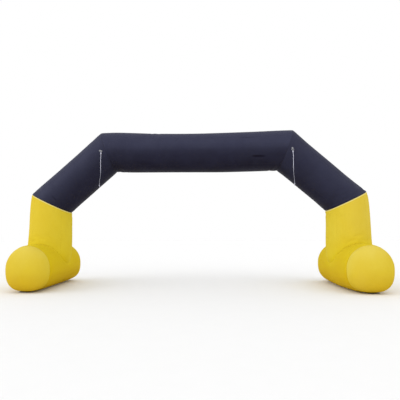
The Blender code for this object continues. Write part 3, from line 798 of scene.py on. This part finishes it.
foot = {"legPaintedLight": 0.20, "legReach": 0.08, "radius": 0.556, "endRadius": 0.521,
        "length": 2.26, "goreAngles": (200, 340), "restZ": 0.0033, "restSoftness": 0.004,
        "topStretch": 1.025, "endLift": 0.010,
        # of the section's lower half: 2 is an arc, and more is fuller at its corners
        "endSquareness": 2.70, "middleSquareness": {"left": 2.05, "right": 2.95},
        # share of the half length, and how much of the swell over the end radius is left
        "rows": ((0.00, 1.00), (0.22, 1.00), (0.42, 0.985), (0.62, 0.93), (0.80, 0.77),
                 (0.92, 0.52), (0.975, 0.28), (1.00, 0.08))}


def footShare(y):
    return np.clip(np.abs(y) / (foot["length"] / 2), 0, 1)


def footRadius(y):
    full = smoothTable(foot["rows"], footShare(y), 1)
    return foot["endRadius"] + full * (foot["radius"] - foot["endRadius"])


def footSquareness(label, y):
    full = smoothTable(foot["rows"], footShare(y), 1)
    return foot["endSquareness"] + full * (foot["middleSquareness"][label]
                                           - foot["endSquareness"])


def footMiddleZ(y):
    return arch["footAxisZ"] + foot["endLift"] * footShare(y) ** 3


def footSection(radius, squareness, angles):
    # sideways and upwards from the axis: a tall arc above and a squarer, sagging one below
    across, up = np.cos(angles), np.sin(angles)
    power = 2 / squareness
    across = np.where(up < 0, np.sign(across) * np.abs(across) ** power, across)
    up = np.where(up < 0, -np.abs(up) ** power, up * foot["topStretch"])
    return radius * across, radius * up


def offFoot(places, footX):
    # places over the foot kept outside it by the gap, and how far they were from it
    middleZ = footMiddleZ(places[..., 1])
    across = places[..., 0] - footX
    up = (places[..., 2] - middleZ) / foot["topStretch"]
    distance = np.hypot(across, up)
    least = footRadius(places[..., 1]) + gap
    scale = np.maximum(distance, least) / distance
    kept = places.copy()
    kept[..., 0] = footX + across * scale
    kept[..., 2] = middleZ + up * foot["topStretch"] * scale
    return kept, distance - least


# share up from the foot, fullness and shift towards the middle of the arch
legRows = {"left": ((0.000, 1.006, 0.000), (0.060, 1.027, 0.022), (0.140, 1.042, 0.042),
                    (0.300, 1.040, 0.043), (0.500, 1.040, 0.034), (0.700, 1.046, 0.015),
                    (0.900, 1.043, 0.003), (1.000, 1.026, 0.000)),
           "right": ((0.000, 1.006, 0.000), (0.060, 1.027, 0.018), (0.140, 1.036, 0.034),
                     (0.300, 1.028, 0.033), (0.500, 1.028, 0.018), (0.700, 1.028, -0.001),
                     (0.900, 1.026, -0.010), (1.000, 1.010, 0.000))}
leg = {"radius": 0.545, "bottomZ": 0.60, "footTightness": 0.12, "looseReach": 0.15,
       "hemWidth": 0.024, "hemHeight": 0.0012, "paintedLightReach": 0.12, "highlightReach": 0.25,
       "kneePaintedShade": 0.12, "innerPaintedLight": 0.12, "frontPaintedLight": 0.30, "sidePaintedShade": 0.25,
       "hemEdge": 0.002, "innerHighlightCut": 0.5, "halvings": 30}


def addLeg(label, side):
    up, over = archWays(side)
    angles = columnAngles(cloth["goreAngles"], arch["tubeRadius"])
    footX = side * arch["footX"]
    top = mitre(angles, corner("knee", side), up, over, side * gap / 2,
                -side * arch["kneeLift"])
    bottom = section((footX, 0, leg["bottomZ"]), (side, 0, 0), leg["radius"], leg["radius"],
                     angles)
    rows = legRows[label]

    def spot(share):
        shift = np.zeros((*share.shape, 3))
        shift[..., 0] = -side * smoothTable(rows, share, 2)
        middle = (bottom[:-1].mean(axis=0) + share[..., None]
                  * (top[:-1].mean(axis=0) - bottom[:-1].mean(axis=0)))
        ring = bottom + share[..., None] * (top - bottom)
        return middle + (ring - middle) * smoothTable(rows, share, 1)[..., None] + shift

    low, high = np.zeros(len(angles)), np.full(len(angles), 0.5)
    for _ in range(leg["halvings"]):         # where each line meets the foot
        half = (low + high) / 2
        inside = offFoot(spot(half), footX)[1] < 0
        low, high = np.where(inside, half, low), np.where(inside, high, half)
    lengths = np.linalg.norm(spot(np.ones(len(angles))) - spot(high), axis=1)
    distance = rowDistances(lengths)
    sheet = Sheet("leg_" + label, angles, cloth["goreAngles"], leg["radius"], distance, lengths)
    places = spot(high + (1 - high) * distance / lengths)
    axisStart = Vector((footX, 0, arch["footAxisZ"]))
    axisWay = (corner("knee", side) - axisStart).normalized()
    along = (places - np.array(axisStart)) @ np.array(axisWay)
    way = outwards(places, axisStart, axisWay)
    tight = 1 - (1 - leg["footTightness"]) * np.exp(-(distance / leg["looseReach"]) ** 2)
    # a band at the leg's top seam, raised a little; the hem layer paints it pale as a painted
    # highlight
    band = np.clip((leg["hemWidth"] - (lengths - distance)) / leg["hemEdge"], 0, 1)
    lift = clothLift(sheet, along, tight) + leg["hemHeight"] * band
    places = offFoot(places + way * lift[..., None] + blown(sheet, places), footX)[0]

    def footWall(ring, share):
        # closes the leg over the top of the foot
        crownZ = arch["footAxisZ"] + (foot["radius"] + gap) * foot["topStretch"]
        crown = np.array((footX, 0, crownZ))
        return offFoot(crown + (ring - crown) * share, footX)[0]

    # painted light and shade on the leg: by facing, lighter on its inner side, darker towards the
    # knee, and near the foot lighter at the front and darker at the sides; a painted highlight
    # grows away from the foot, less on the inner side
    front, beside = way[..., 1] ** 2, np.exp(-distance / leg["paintedLightReach"])
    inner = np.maximum(-side * way[..., 0], 0)
    faded = (mark(paintedLightLevels["leg"], way) + leg["innerPaintedLight"] * inner
             - leg["kneePaintedShade"] * np.exp((distance - lengths) / leg["paintedLightReach"])
             + (leg["frontPaintedLight"] * front - leg["sidePaintedShade"] * (1 - front)) * beside)
    bloom = paintedHighlights["leg"][label] * (1 - np.exp(-distance / leg["highlightReach"])) \
        * (1 - leg["innerHighlightCut"] * inner)
    return sewnPiece(sheet, places, along, {"faded": faded, "bloom": bloom, "hem": band},
                     *yellowCloth, (footWall, flatWall))


def restFlat(places):
    # the cloth lies flat where it meets the pad
    over = places[..., 2] - foot["restZ"]
    k = foot["restSoftness"]
    places[..., 2] = foot["restZ"] + (over + np.sqrt(over ** 2 + k ** 2)) / 2
    return places


def addFoot(label, side):
    angles = columnAngles(foot["goreAngles"], foot["radius"])
    footX = side * arch["footX"]
    lengths = np.full(len(angles), foot["length"])
    distance = rowDistances(lengths)
    sheet = Sheet("foot_" + label, angles, foot["goreAngles"], foot["radius"], distance, lengths)
    y = distance - foot["length"] / 2
    across, up = footSection(footRadius(y), footSquareness(label, y), angles)
    places = np.stack([footX + across, y, footMiddleZ(y) + up], axis=-1)
    way = outwards(places, (footX, -foot["length"] / 2, arch["footAxisZ"]), yAxis)
    fromLeg = np.maximum(np.hypot(places[..., 0] - footX, places[..., 1]) - leg["radius"], 0)
    # the cloth lies still beside the leg, and is painted as light there as the leg's own painted
    # light
    moved = blown(sheet, places) * (1 - np.exp(-fromLeg / leg["looseReach"]))[..., None]
    beside = foot["legPaintedLight"] * np.exp(-fromLeg / foot["legReach"]) * (up > 0)
    places = restFlat(places + way * clothLift(sheet, distance)[..., None] + moved)
    # painted light and shade by facing, and an even painted highlight set by side
    return sewnPiece(sheet, places, distance,
                     {"faded": mark(paintedLightLevels["foot"], way) + beside,
                      "bloom": np.full_like(distance, paintedHighlights["foot"][label])}, *yellowCloth)


cap = {"depth": 0.33, "squareness": 2.4, "droop": 0.165, "rows": 46, "seamSpread": 1.25,
       "middleInside": 0.15, "roundTip": 6, "rimPaintedLight": 0.35, "rimReach": 0.12,
       "outerPaintedShade": 0.10, "sidePaintedShade": {"left": 0.06, "right": 0.0}}


def addCap(label, side, endLabel, end):
    angles = columnAngles((), foot["endRadius"])
    footX, seamY = side * arch["footX"], foot["length"] / 2
    seamShares = np.array(cloth["seamRows"]) / (foot["endRadius"] * cap["seamSpread"])
    steps = np.concatenate([seamShares, np.linspace(seamShares[-1], 1, cap["rows"])[1:]])[:, None]
    radius = foot["endRadius"] * np.cos(math.pi / 2 * steps)
    depth = np.maximum(1 - (radius / foot["endRadius"]) ** cap["squareness"], 0) \
        ** (1 / cap["squareness"])
    across, up = footSection(radius, foot["endSquareness"], angles)
    middleY = np.broadcast_to(end * (seamY + gap + cap["depth"] * depth), across.shape)
    middleZ = arch["footAxisZ"] + foot["endLift"] - cap["droop"] * depth ** 2
    places = np.stack([footX + across, middleY, middleZ + up], axis=-1)
    ringStep = np.linalg.norm(np.diff(places, axis=0), axis=-1)
    distance = np.concatenate([np.zeros((1, len(angles))), np.cumsum(ringStep, axis=0)])
    sheet = Sheet(f"cap_{label}_{endLabel}", angles, (), foot["endRadius"], distance)
    way = places - np.array((footX, end * (seamY - cap["middleInside"]), arch["footAxisZ"]))
    way /= np.linalg.norm(way, axis=-1, keepdims=True)
    lift = clothLift(sheet, distance) * (1 - steps ** cap["roundTip"])    # the tip stays round
    places = restFlat(places + way * lift[..., None] + blown(sheet, places))
    beyond = end * (places[..., 1] - end * (seamY + gap))
    places[..., 1] += end * np.maximum(-beyond, 0)     # nothing reaches back into the foot
    # painted light: the dome's rim is paler towards the middle of the arch; painted shade: it is
    # duller on the outer side, and each cap by its side
    outer = side * way[..., 0]
    rim = cap["rimPaintedLight"] * np.exp(-distance / cap["rimReach"]) * np.clip(-outer * 2, 0, 1) \
        - cap["outerPaintedShade"] * np.maximum(outer, 0) - cap["sidePaintedShade"][label]
    # painted highlight: more where the dome faces up, set by side, and on the right less on the
    # outer side
    bloom = mark(paintedHighlights["cap"], way) * paintedHighlights["side"][label] - paintedHighlights["inner"][label] * outer
    return sewnPiece(sheet, places, distance,
                     {"faded": mark(paintedLightLevels["cap"], way) + rim, "bloom": bloom},
                     *yellowCloth, (flatWall, None))


def middleOf(node):
    low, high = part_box(node)
    return (low + high) / 2


slantCloths = {}
addBeam()
for label, side in sides.items():
    slantCloths[label] = addSlant(label, side, [middleOf("tab_" + label)])
    addLeg(label, side)
    addFoot(label, side)
    for endLabel, end in ends.items():
        addCap(label, side, endLabel, end)
print("cloth sewn")


# Webbing, rings and their stitches

fitting = {"left": {"along": 0.121, "turn": 5.0, "tilt": 55.0},
           "right": {"along": 0.101, "turn": 2.8, "tilt": -8.0},
           "webWidth": 0.040, "webLength": 0.045, "layer": 0.0016, "eyeRadius": 0.0075,
           "holeRadius": 0.0045, "hem": 0.004,
           # the strip's route round the eye, and its mesh
           "routeStep": 0.003, "eyeArc": (-90, 205, 22), "eyeClosing": 1.25, "tuck": 0.002,
           "underLayer": 0.55, "tuckLayer": 1.5, "rowStep": 0.0012, "columns": 16,
           "clingShare": 0.4, "castHeight": 0.05, "selvedge": 0.3,
           "stitchLength": 0.0032, "stitchPitch": 0.0042, "stitchRadius": 0.00045,
           "stitchHeight": 2.1, "boxHalf": (0.0150, 0.0145), "boxShift": -0.004,
           "wireRadius": 0.003, "halfWidth": 0.025, "corner": 0.006, "side": 0.016,
           "lean": 30.0, "cornerPoints": 8, "bowPoints": 33, "wireSides": 6}


def treeOf(piece):
    return BVHTree.FromPolygons([v.co for v in piece.data.vertices],
                                [f.vertices for f in piece.data.polygons])


def fittingFrame(label, side, tree):
    # X runs down the webbing, Y stands off the cloth and Z lies across the webbing
    way = (corner("knee", side) - corner("shoulder", side)).normalized()
    out = Vector((-side * way.z, 0, side * way.x))
    angle = math.radians(fitting[label]["turn"])
    off = out * math.sin(angle) - yAxis * math.cos(angle)
    axisPoint = corner("shoulder", side) + way * fitting[label]["along"]
    seat = tree.ray_cast(axisPoint + off, -off)[0]
    straightDown = (Vector((0, 0, -1)) + off * off.z).normalized()
    along = Matrix.Rotation(math.radians(side * fitting[label]["tilt"]), 3, -off) @ straightDown
    made = Matrix((along, off, along.cross(off))).transposed().to_4x4()
    made.translation = seat + off * gap
    return made


def clothUnder(tree, place, off):
    # the cloth's surface straight under a place near it
    return tree.ray_cast(place + off * fitting["castHeight"], -off)[0]


def arcPoints(x, y, radius, first, last, count):
    angles = [math.radians(first + (last - first) * k / (count - 1)) for k in range(count)]
    return [(x + radius * math.cos(a), y + radius * math.sin(a)) for a in angles]


def webbingLine():
    # along the cloth, round the ring's bar and back on itself
    reach, step = fitting["webLength"] / 2, fitting["routeStep"]
    layer, eye = fitting["layer"], fitting["eyeRadius"]
    low, middle = layer * fitting["underLayer"], eye - layer / 2
    line = [(-reach + k * step, low) for k in range(int(2 * reach / step))]
    line += arcPoints(reach, eye, middle, *fitting["eyeArc"])
    back = reach - middle * fitting["eyeClosing"]
    line += [(back - fitting["tuck"], low + layer * fitting["tuckLayer"])]
    line += [(back - 2 * fitting["tuck"] - k * step, low + layer)
             for k in range(int((back + reach - fitting["hem"]) / step))]
    return evenPoints([Vector((x, y, 0)) for x, y in line], fitting["rowStep"])


def addWebbing(label, made, tree):
    line, length = webbingLine()
    across, half = fitting["columns"], fitting["webWidth"] / 2
    reach, cling = fitting["webLength"] / 2, fitting["clingShare"]
    piece = addGrid("tab_" + label + "_webbing", across + 1, len(line))
    mesh = piece.data
    off = made.col[1].to_3d()
    marks = mesh.attributes.new("edge", "FLOAT", "POINT")
    for k, vert in enumerate(mesh.vertices):
        row, column = divmod(k, across + 1)
        z = half * (2 * column / across - 1)
        at = made @ Vector((line[row].x, 0, z))
        hit = clothUnder(tree, at, off)
        lift = (hit - made.translation).dot(off) if hit else -gap
        # it follows the cloth where it is sewn, and less towards the eye
        follows = max(0, 1 - max(0, line[row].x - reach * cling) / (reach * (1 - cling)))
        vert.co = at + off * (line[row].y + lift * follows)
        marks.data[k].value = half - abs(z)
    for loop, uv in zip(mesh.loops, mesh.uv_layers[0].data):
        row, column = divmod(loop.vertex_index, across + 1)
        uv.uv = (half * (2 * column / across - 1), length * row / (len(line) - 1))
    applied(piece, "thickness", "SOLIDIFY", thickness=fitting["layer"], offset=0)
    applied(piece, "selvedge", "BEVEL", segments=2, limit_method="ANGLE",
            width=fitting["layer"] * fitting["selvedge"])
    weld(piece, distance=0.000001, smoothDegrees=40)
    dress(piece, finishes["webbing"], "webbing", "tab_" + label)


def addStitches(label, made, tree):
    # a box of stitches with a cross in it
    halfX, halfZ = fitting["boxHalf"]
    a, b, c, d = (-halfX, -halfZ), (halfX, -halfZ), (halfX, halfZ), (-halfX, halfZ)
    clearSelection()
    bpy.ops.mesh.primitive_cylinder_add(vertices=6, radius=fitting["stitchRadius"],
                                        depth=fitting["stitchLength"], rotation=(0, math.pi / 2, 0))
    model = bpy.context.object
    bpy.ops.object.transform_apply(location=False, rotation=True, scale=False)
    bpy.ops.object.mode_set(mode="EDIT")
    bpy.ops.mesh.select_all(action="SELECT")
    bpy.ops.mesh.bevel(offset=fitting["stitchRadius"] * 0.5, segments=2, affect="EDGES")
    bpy.ops.object.mode_set(mode="OBJECT")
    stitches = []
    off = made.col[1].to_3d()
    for (x0, z0), (x1, z1) in ((a, b), (b, c), (c, d), (d, a), (a, c), (b, d)):
        turned = Matrix.Rotation(-math.atan2(z1 - z0, x1 - x0), 4, "Y")
        count = int(math.hypot(x1 - x0, z1 - z0) / fitting["stitchPitch"])
        for k in range(count):
            at = (k + 0.5) / count
            x, z = x0 + (x1 - x0) * at + fitting["boxShift"], z0 + (z1 - z0) * at
            spot = made @ Vector((x, 0, z))
            spot = (clothUnder(tree, spot, off) or spot) \
                + off * (fitting["layer"] * fitting["stitchHeight"])
            copy = model.copy()
            copy.data = model.data.copy()
            bpy.context.collection.objects.link(copy)
            copy.data.transform(Matrix.Translation(spot) @ made.to_3x3().to_4x4() @ turned)
            stitches.append(copy)
    bpy.data.objects.remove(model)
    clearSelection()
    for stitch in stitches:
        stitch.select_set(True)
    bpy.context.view_layer.objects.active = stitches[0]
    bpy.ops.object.join()
    piece = bpy.context.object
    piece.name = piece.data.name = "tab_" + label + "_stitches"
    pick(piece)
    bpy.ops.object.shade_smooth_by_angle(angle=math.radians(50))
    dress(piece, finishes["thread"], "webbing")


def ringLine(made):
    # the middle of the wire: the bar in the webbing's eye, the bow leaning off the cloth
    along, off, across = (made.col[k].to_3d() for k in range(3))
    lean = math.radians(fitting["lean"])
    outward = along * math.cos(lean) + off * math.sin(lean)
    eye = made @ Vector((fitting["webLength"] / 2, fitting["eyeRadius"], 0))
    bar = eye + outward * (fitting["holeRadius"] - fitting["wireRadius"] - gap)
    inner, bend = fitting["halfWidth"] - fitting["corner"], fitting["corner"]
    flat = arcPoints(inner, bend, bend, -90, 0, fitting["cornerPoints"])
    flat += arcPoints(0, bend + fitting["side"], fitting["halfWidth"], 0, 180,
                      fitting["bowPoints"])
    flat += arcPoints(-inner, bend, bend, 180, 270, fitting["cornerPoints"])
    return [bar + across * x + outward * y for x, y in flat]


def addCurve(name, points, cyclic=False, dimensions="3D"):
    curve = bpy.data.curves.new(name, "CURVE")
    curve.dimensions = dimensions
    spline = curve.splines.new("POLY")
    spline.points.add(len(points) - 1)
    for target, point in zip(spline.points, points):
        target.co = (*point, 1)
    spline.use_cyclic_u = cyclic
    piece = bpy.data.objects.new(name, curve)
    bpy.context.collection.objects.link(piece)
    return piece


def curveToMesh(piece, smoothDegrees):
    piece.data.use_fill_caps = True
    pick(piece)
    bpy.ops.object.convert(target="MESH")
    piece = bpy.context.object
    weld(piece, distance=0.00001, smoothDegrees=smoothDegrees)
    return piece


def addRing(label, path):
    ring = addCurve(f"ring_{label}_wire", path, cyclic=True)
    ring.data.bevel_depth = fitting["wireRadius"]
    ring.data.bevel_resolution = fitting["wireSides"]
    dress(curveToMesh(ring, 40), finishes["steel"], "ring_steel", "ring_" + label)


# Ropes

rope = {"radius": 0.006, "endZ": 2.60, "step": 0.0025, "strands": 3, "layLength": 0.040,
        "outlinePoints": 9, "strandShare": 0.9, "curvePoints": 24,
        # share of the height, and how far the rope wanders in X and in Y from its top
        "left": ((0.00, 0.000, 0.000), (0.08, -0.003, 0.000), (0.25, -0.010, 0.002),
                 (0.45, -0.011, 0.004), (0.62, -0.013, 0.004), (0.74, -0.021, 0.002),
                 (0.86, -0.038, 0.000), (1.00, -0.040, -0.001)),
        "right": ((0.00, 0.000, 0.000), (0.08, 0.007, 0.000), (0.25, 0.010, 0.002),
                  (0.45, 0.010, 0.004), (0.62, 0.014, 0.005), (0.76, 0.022, 0.003),
                  (0.88, 0.032, 0.001), (1.00, 0.036, 0.000))}
knot = {"radius": 0.0047, "step": 0.0018, "layLength": 0.030, "wraps": 2.6, "wrapPoints": 26,
        # round the ring: the loop, how far below it the wraps start, and their loose end
        "loopRadius": 0.0105, "loopAngles": (-38, 0, 45, 90, 135, 180, 214), "loopDrop": 1.35,
        "straight": 0.010, "bend": 0.006, "wrapGap": 0.001, "wrapFoot": 0.008,
        "looseEnd": ((0.25, 0.006), (0.45, 0.016)), "ringTapers": (0.012, 0.001),
        "ringTips": (0.85, 0.5),
        # the stopper: its length, how close its wraps lie, the rope into it and the tail under it
        "length": 0.034, "closeness": 0.9, "stopperGap": 0.007,
        "lead": (0.0035, 0.0015, -0.001),
        "tail": ((0, 0.0015, 0), (0.012, 0, 0.0006), (0.030, 0.0008, 0)),
        "stopperTapers": (0.006, 0.022), "stopperTips": (0.97, 0.82, 0.45)}


def smoothLine(route, step):
    # even points a step apart on a smooth curve through the route
    points = []
    for span in range(len(route) - 1):
        p1, p2 = route[span], route[span + 1]
        p0 = route[span - 1] if span > 0 else p1 * 2 - p2
        p3 = route[span + 2] if span + 2 < len(route) else p2 * 2 - p1
        for k in range(rope["curvePoints"]):
            part = k / rope["curvePoints"]
            points.append((p1 * 2 + (p2 - p0) * part
                           + (p0 * 2 - p1 * 5 + p2 * 4 - p3) * part ** 2
                           + (p1 * 3 - p0 - p2 * 3 + p3) * part ** 3) / 2)
    points.append(route[-1])
    return evenPoints(points, step)


def evenPoints(points, step):
    line = np.array([tuple(p) for p in points])
    run = np.concatenate([[0], np.cumsum(np.linalg.norm(np.diff(line, axis=0), axis=1))])
    at = np.linspace(0, run[-1], max(2, round(run[-1] / step)) + 1)
    return [Vector([np.interp(s, run, line[:, k]) for k in range(3)]) for s in at], run[-1]


def strandOutline():
    # the outline of strands laid round each other, one across, as a closed curve
    strands, pointsEach = rope["strands"], rope["outlinePoints"]
    strandRadius = 1 / (1 + 1 / math.sin(math.pi / strands))
    centre = 1 - strandRadius
    half = math.pi / 2 + math.pi / strands
    points = []
    for k in range(strands * pointsEach):
        strand, spot = divmod(k, pointsEach)
        middle = turn * strand / strands
        angle = middle + half * rope["strandShare"] * (2 * spot / (pointsEach - 1) - 1)
        points.append((centre * math.cos(middle) + strandRadius * math.cos(angle),
                       centre * math.sin(middle) + strandRadius * math.sin(angle), 0))
    return addCurve("strandOutline", points, cyclic=True, dimensions="2D")


def laidRope(name, points, radii, layLength, node):
    # twisted strands along the points, closed at both ends
    outline = strandOutline()
    piece = addCurve(name, points)
    piece.data.bevel_mode, piece.data.bevel_object = "OBJECT", outline
    run = 0.0
    for k, target in enumerate(piece.data.splines[0].points):
        run += (points[k] - points[k - 1]).length if k else 0
        target.radius = radii[k]
        target.tilt = turn * run / layLength
    piece = curveToMesh(piece, 55)
    bpy.data.objects.remove(outline)
    if piece.data.uv_layers:
        piece.data.uv_layers[0].name = "UVMap"
        for uv in piece.data.uv_layers[0].data:
            uv.uv = (uv.uv[0] * run, uv.uv[1] * turn * rope["radius"])
    return dress(piece, finishes["rope"], "rope", node)


def ringWays(path):
    # level ways across and along the ring's wire, at its lowest place
    lowest = min(range(len(path)), key=lambda k: path[k].z)
    wire = path[(lowest + 1) % len(path)] - path[lowest - 1]
    wire = Vector((wire.x, wire.y, 0)).normalized()
    return wire.cross(Vector((0, 0, 1))), wire


def upright(middle, ways):
    # places at a height beside an upright line through the middle
    return lambda z, a=0.0, b=0.0: Vector((middle.x, middle.y, z)) + ways[0] * a + ways[1] * b


def wraps(at, first, topZ, drop, closeness):
    # turns of rope round the standing part, from the top down
    route = []
    for k in range(knot["wrapPoints"] + 1):
        a = first + turn * knot["wraps"] * k / knot["wrapPoints"]
        route.append(at(topZ - drop * k / knot["wrapPoints"],
                        2 * knot["radius"] * math.cos(a) * closeness,
                        2 * knot["radius"] * math.sin(a) * closeness))
    return route


def tied(node, route, tapers, tips):
    # a knot's rope is pulled thin between the tapers at its two ends
    points, _ = smoothLine(route, knot["step"])
    thinner = knot["radius"] - rope["radius"]
    last = len(points) - 1
    radii = [rope["radius"] + thinner * min(1, k * knot["step"] / tapers[0],
                                            (last - k) * knot["step"] / tapers[1])
             for k in range(len(points))]
    radii[-len(tips):] = tips
    return laidRope(node + "_tied", points, radii, knot["layLength"], node)


def addRingKnot(label, start, ways):
    # up through the wraps, round the ring, and down round the standing part
    node = "rope_knot_" + label
    at, up = upright(start, ways), Vector((0, 0, 1))
    centre = start.copy()
    centre.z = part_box(node)[1].z - rope["radius"] - knot["loopRadius"]
    topZ = centre.z - knot["loopRadius"] * knot["loopDrop"]
    route = [at(start.z), at(start.z + knot["straight"]), at(topZ - knot["bend"]),
             at(topZ + knot["wrapGap"], knot["wrapGap"])]
    reach = knot["loopRadius"] - (rope["radius"] - knot["radius"])
    for degrees in knot["loopAngles"]:
        a = math.radians(degrees)
        route.append(centre + ways[0] * (reach * math.cos(a)) + up * (reach * math.sin(a)))
    route += wraps(at, math.pi, topZ - knot["wrapGap"], topZ - start.z - knot["wrapFoot"], 1)
    end = route[-1]
    away = end - Vector((start.x, start.y, end.z))
    route += [end + away * out - up * down for out, down in knot["looseEnd"]]
    tips = [knot["radius"] * share for share in knot["ringTips"]]
    return tied(node, route, knot["ringTapers"], tips)


def addStopper(label, end, ways):
    # the knot under the rope, and its short tail
    node = "rope_end_" + label
    at, bottomZ = upright(end, ways), end.z - knot["length"]
    lead, a, b = knot["lead"]
    route = [at(end.z - gap), at(end.z - lead, a, b)]
    route += wraps(at, 0, end.z - knot["stopperGap"], knot["length"] - 2 * knot["stopperGap"],
                   knot["closeness"])
    route += [at(bottomZ - down, a, b) for down, a, b in knot["tail"]]
    tips = [rope["radius"] * share for share in knot["stopperTips"]]
    return tied(node, route, knot["stopperTapers"], tips)


def addRope(label, ringPath):
    start = middleOf("rope_knot_" + label)
    start.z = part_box("rope_knot_" + label)[0].z - gap
    drop = start.z - rope["endZ"]
    route = [start + Vector((x, y, -share * drop)) for share, x, y in rope[label]]
    line, length = smoothLine(route, rope["step"])
    piece = laidRope(f"rope_{label}_laid", line, [rope["radius"]] * len(line),
                     rope["layLength"], "rope_" + label)
    ways = ringWays(ringPath)
    knots = addRingKnot(label, line[0], ways), addStopper(label, line[-1], ways)
    print(f"rope {label} is {length:.3f} m long")


for label, side in sides.items():
    tree = treeOf(slantCloths[label])
    made = fittingFrame(label, side, tree)
    addWebbing(label, made, tree)
    addStitches(label, made, tree)
    path = ringLine(made)
    addRing(label, path)
    addRope(label, path)
print("fittings and ropes made")


# Ground pads

pad = {"width": 0.27, "length": 2.34, "thickness": 0.003, "corner": 0.05,
       "shift": {"left": -0.108, "right": 0.087}, "cornerSteps": 8, "rim": 0.0008}


def addPad(label, side):
    clearSelection()
    bpy.ops.mesh.primitive_plane_add(size=1)
    piece = bpy.context.object
    piece.name = piece.data.name = "ground_pad_" + label + "_mat"
    bpy.ops.object.mode_set(mode="EDIT")
    bpy.ops.mesh.select_all(action="SELECT")
    bpy.ops.transform.resize(value=(pad["width"], pad["length"], 1))
    bpy.ops.mesh.bevel(offset=pad["corner"], segments=pad["cornerSteps"], affect="VERTICES")
    bpy.ops.object.mode_set(mode="OBJECT")
    for uv in piece.data.uv_layers[0].data:
        uv.uv = (uv.uv[0] * pad["width"], uv.uv[1] * pad["length"])
    applied(piece, "thickness", "SOLIDIFY", thickness=pad["thickness"], offset=1)
    applied(piece, "rim", "BEVEL", width=pad["rim"], segments=3, limit_method="ANGLE")
    shift = (side * arch["footX"] + pad["shift"][label], 0, 0)
    piece.data.transform(Matrix.Translation(shift))
    weld(piece, distance=0.000001, smoothDegrees=40)
    dress(piece, finishes["blackPad"], "black_pad", "ground_pad_" + label)


for label, side in sides.items():
    addPad(label, side)
print("pads laid")


# Studio

studio = {"floorSize": 140, "world": 1.0, "floorColours": ((0.86,) * 3, (0.88,) * 3),
          "floorRoughness": 0.8,
          "keyLight": {"way": (0.85, 0.40, -0.35), "spread": 50, "power": 0.78},
          "fillLight": {"way": (-0.50, 0.62, -0.60), "spread": 50, "power": 0.34}}


def paleFloor():
    shade = Shader("paleFloor", {"Specular IOR Level": 0.2})
    speckle = shade.noise(shade.place(), 3.0, 4.0, 0.6)
    colour = shade.mix(speckle, *studio["floorColours"])
    return shade.surfaceTakes(Base_Color=colour,
                              Roughness=studio["floorRoughness"] + speckle * 0.1)


def addFloor():
    clearSelection()
    bpy.ops.mesh.primitive_plane_add(size=studio["floorSize"])
    floor = bpy.context.object
    floor.name = floor.data.name = "studioFloor"
    floor.data.materials.append(paleFloor())


def addLight(name, setup):
    # a wide soft light from far away, the same all over the floor
    data = bpy.data.lights.new(name, "SUN")
    data.energy, data.angle = setup["power"], math.radians(setup["spread"])
    light = bpy.data.objects.new(name, data)
    bpy.context.collection.objects.link(light)
    light.rotation_euler = Vector(setup["way"]).to_track_quat("-Z", "Y").to_euler()


def addWorld():
    world = bpy.data.worlds.new("studioWorld")
    bpy.context.scene.world = world
    world.use_nodes = True
    sky = world.node_tree.nodes["Background"]
    sky.inputs["Color"].default_value = (1, 1, 1, 1)
    sky.inputs["Strength"].default_value = studio["world"]


addFloor()
addWorld()
for name in ("keyLight", "fillLight"):
    addLight(name, studio[name])
bpy.context.scene.view_settings.view_transform = "Standard"
print("studio lit")
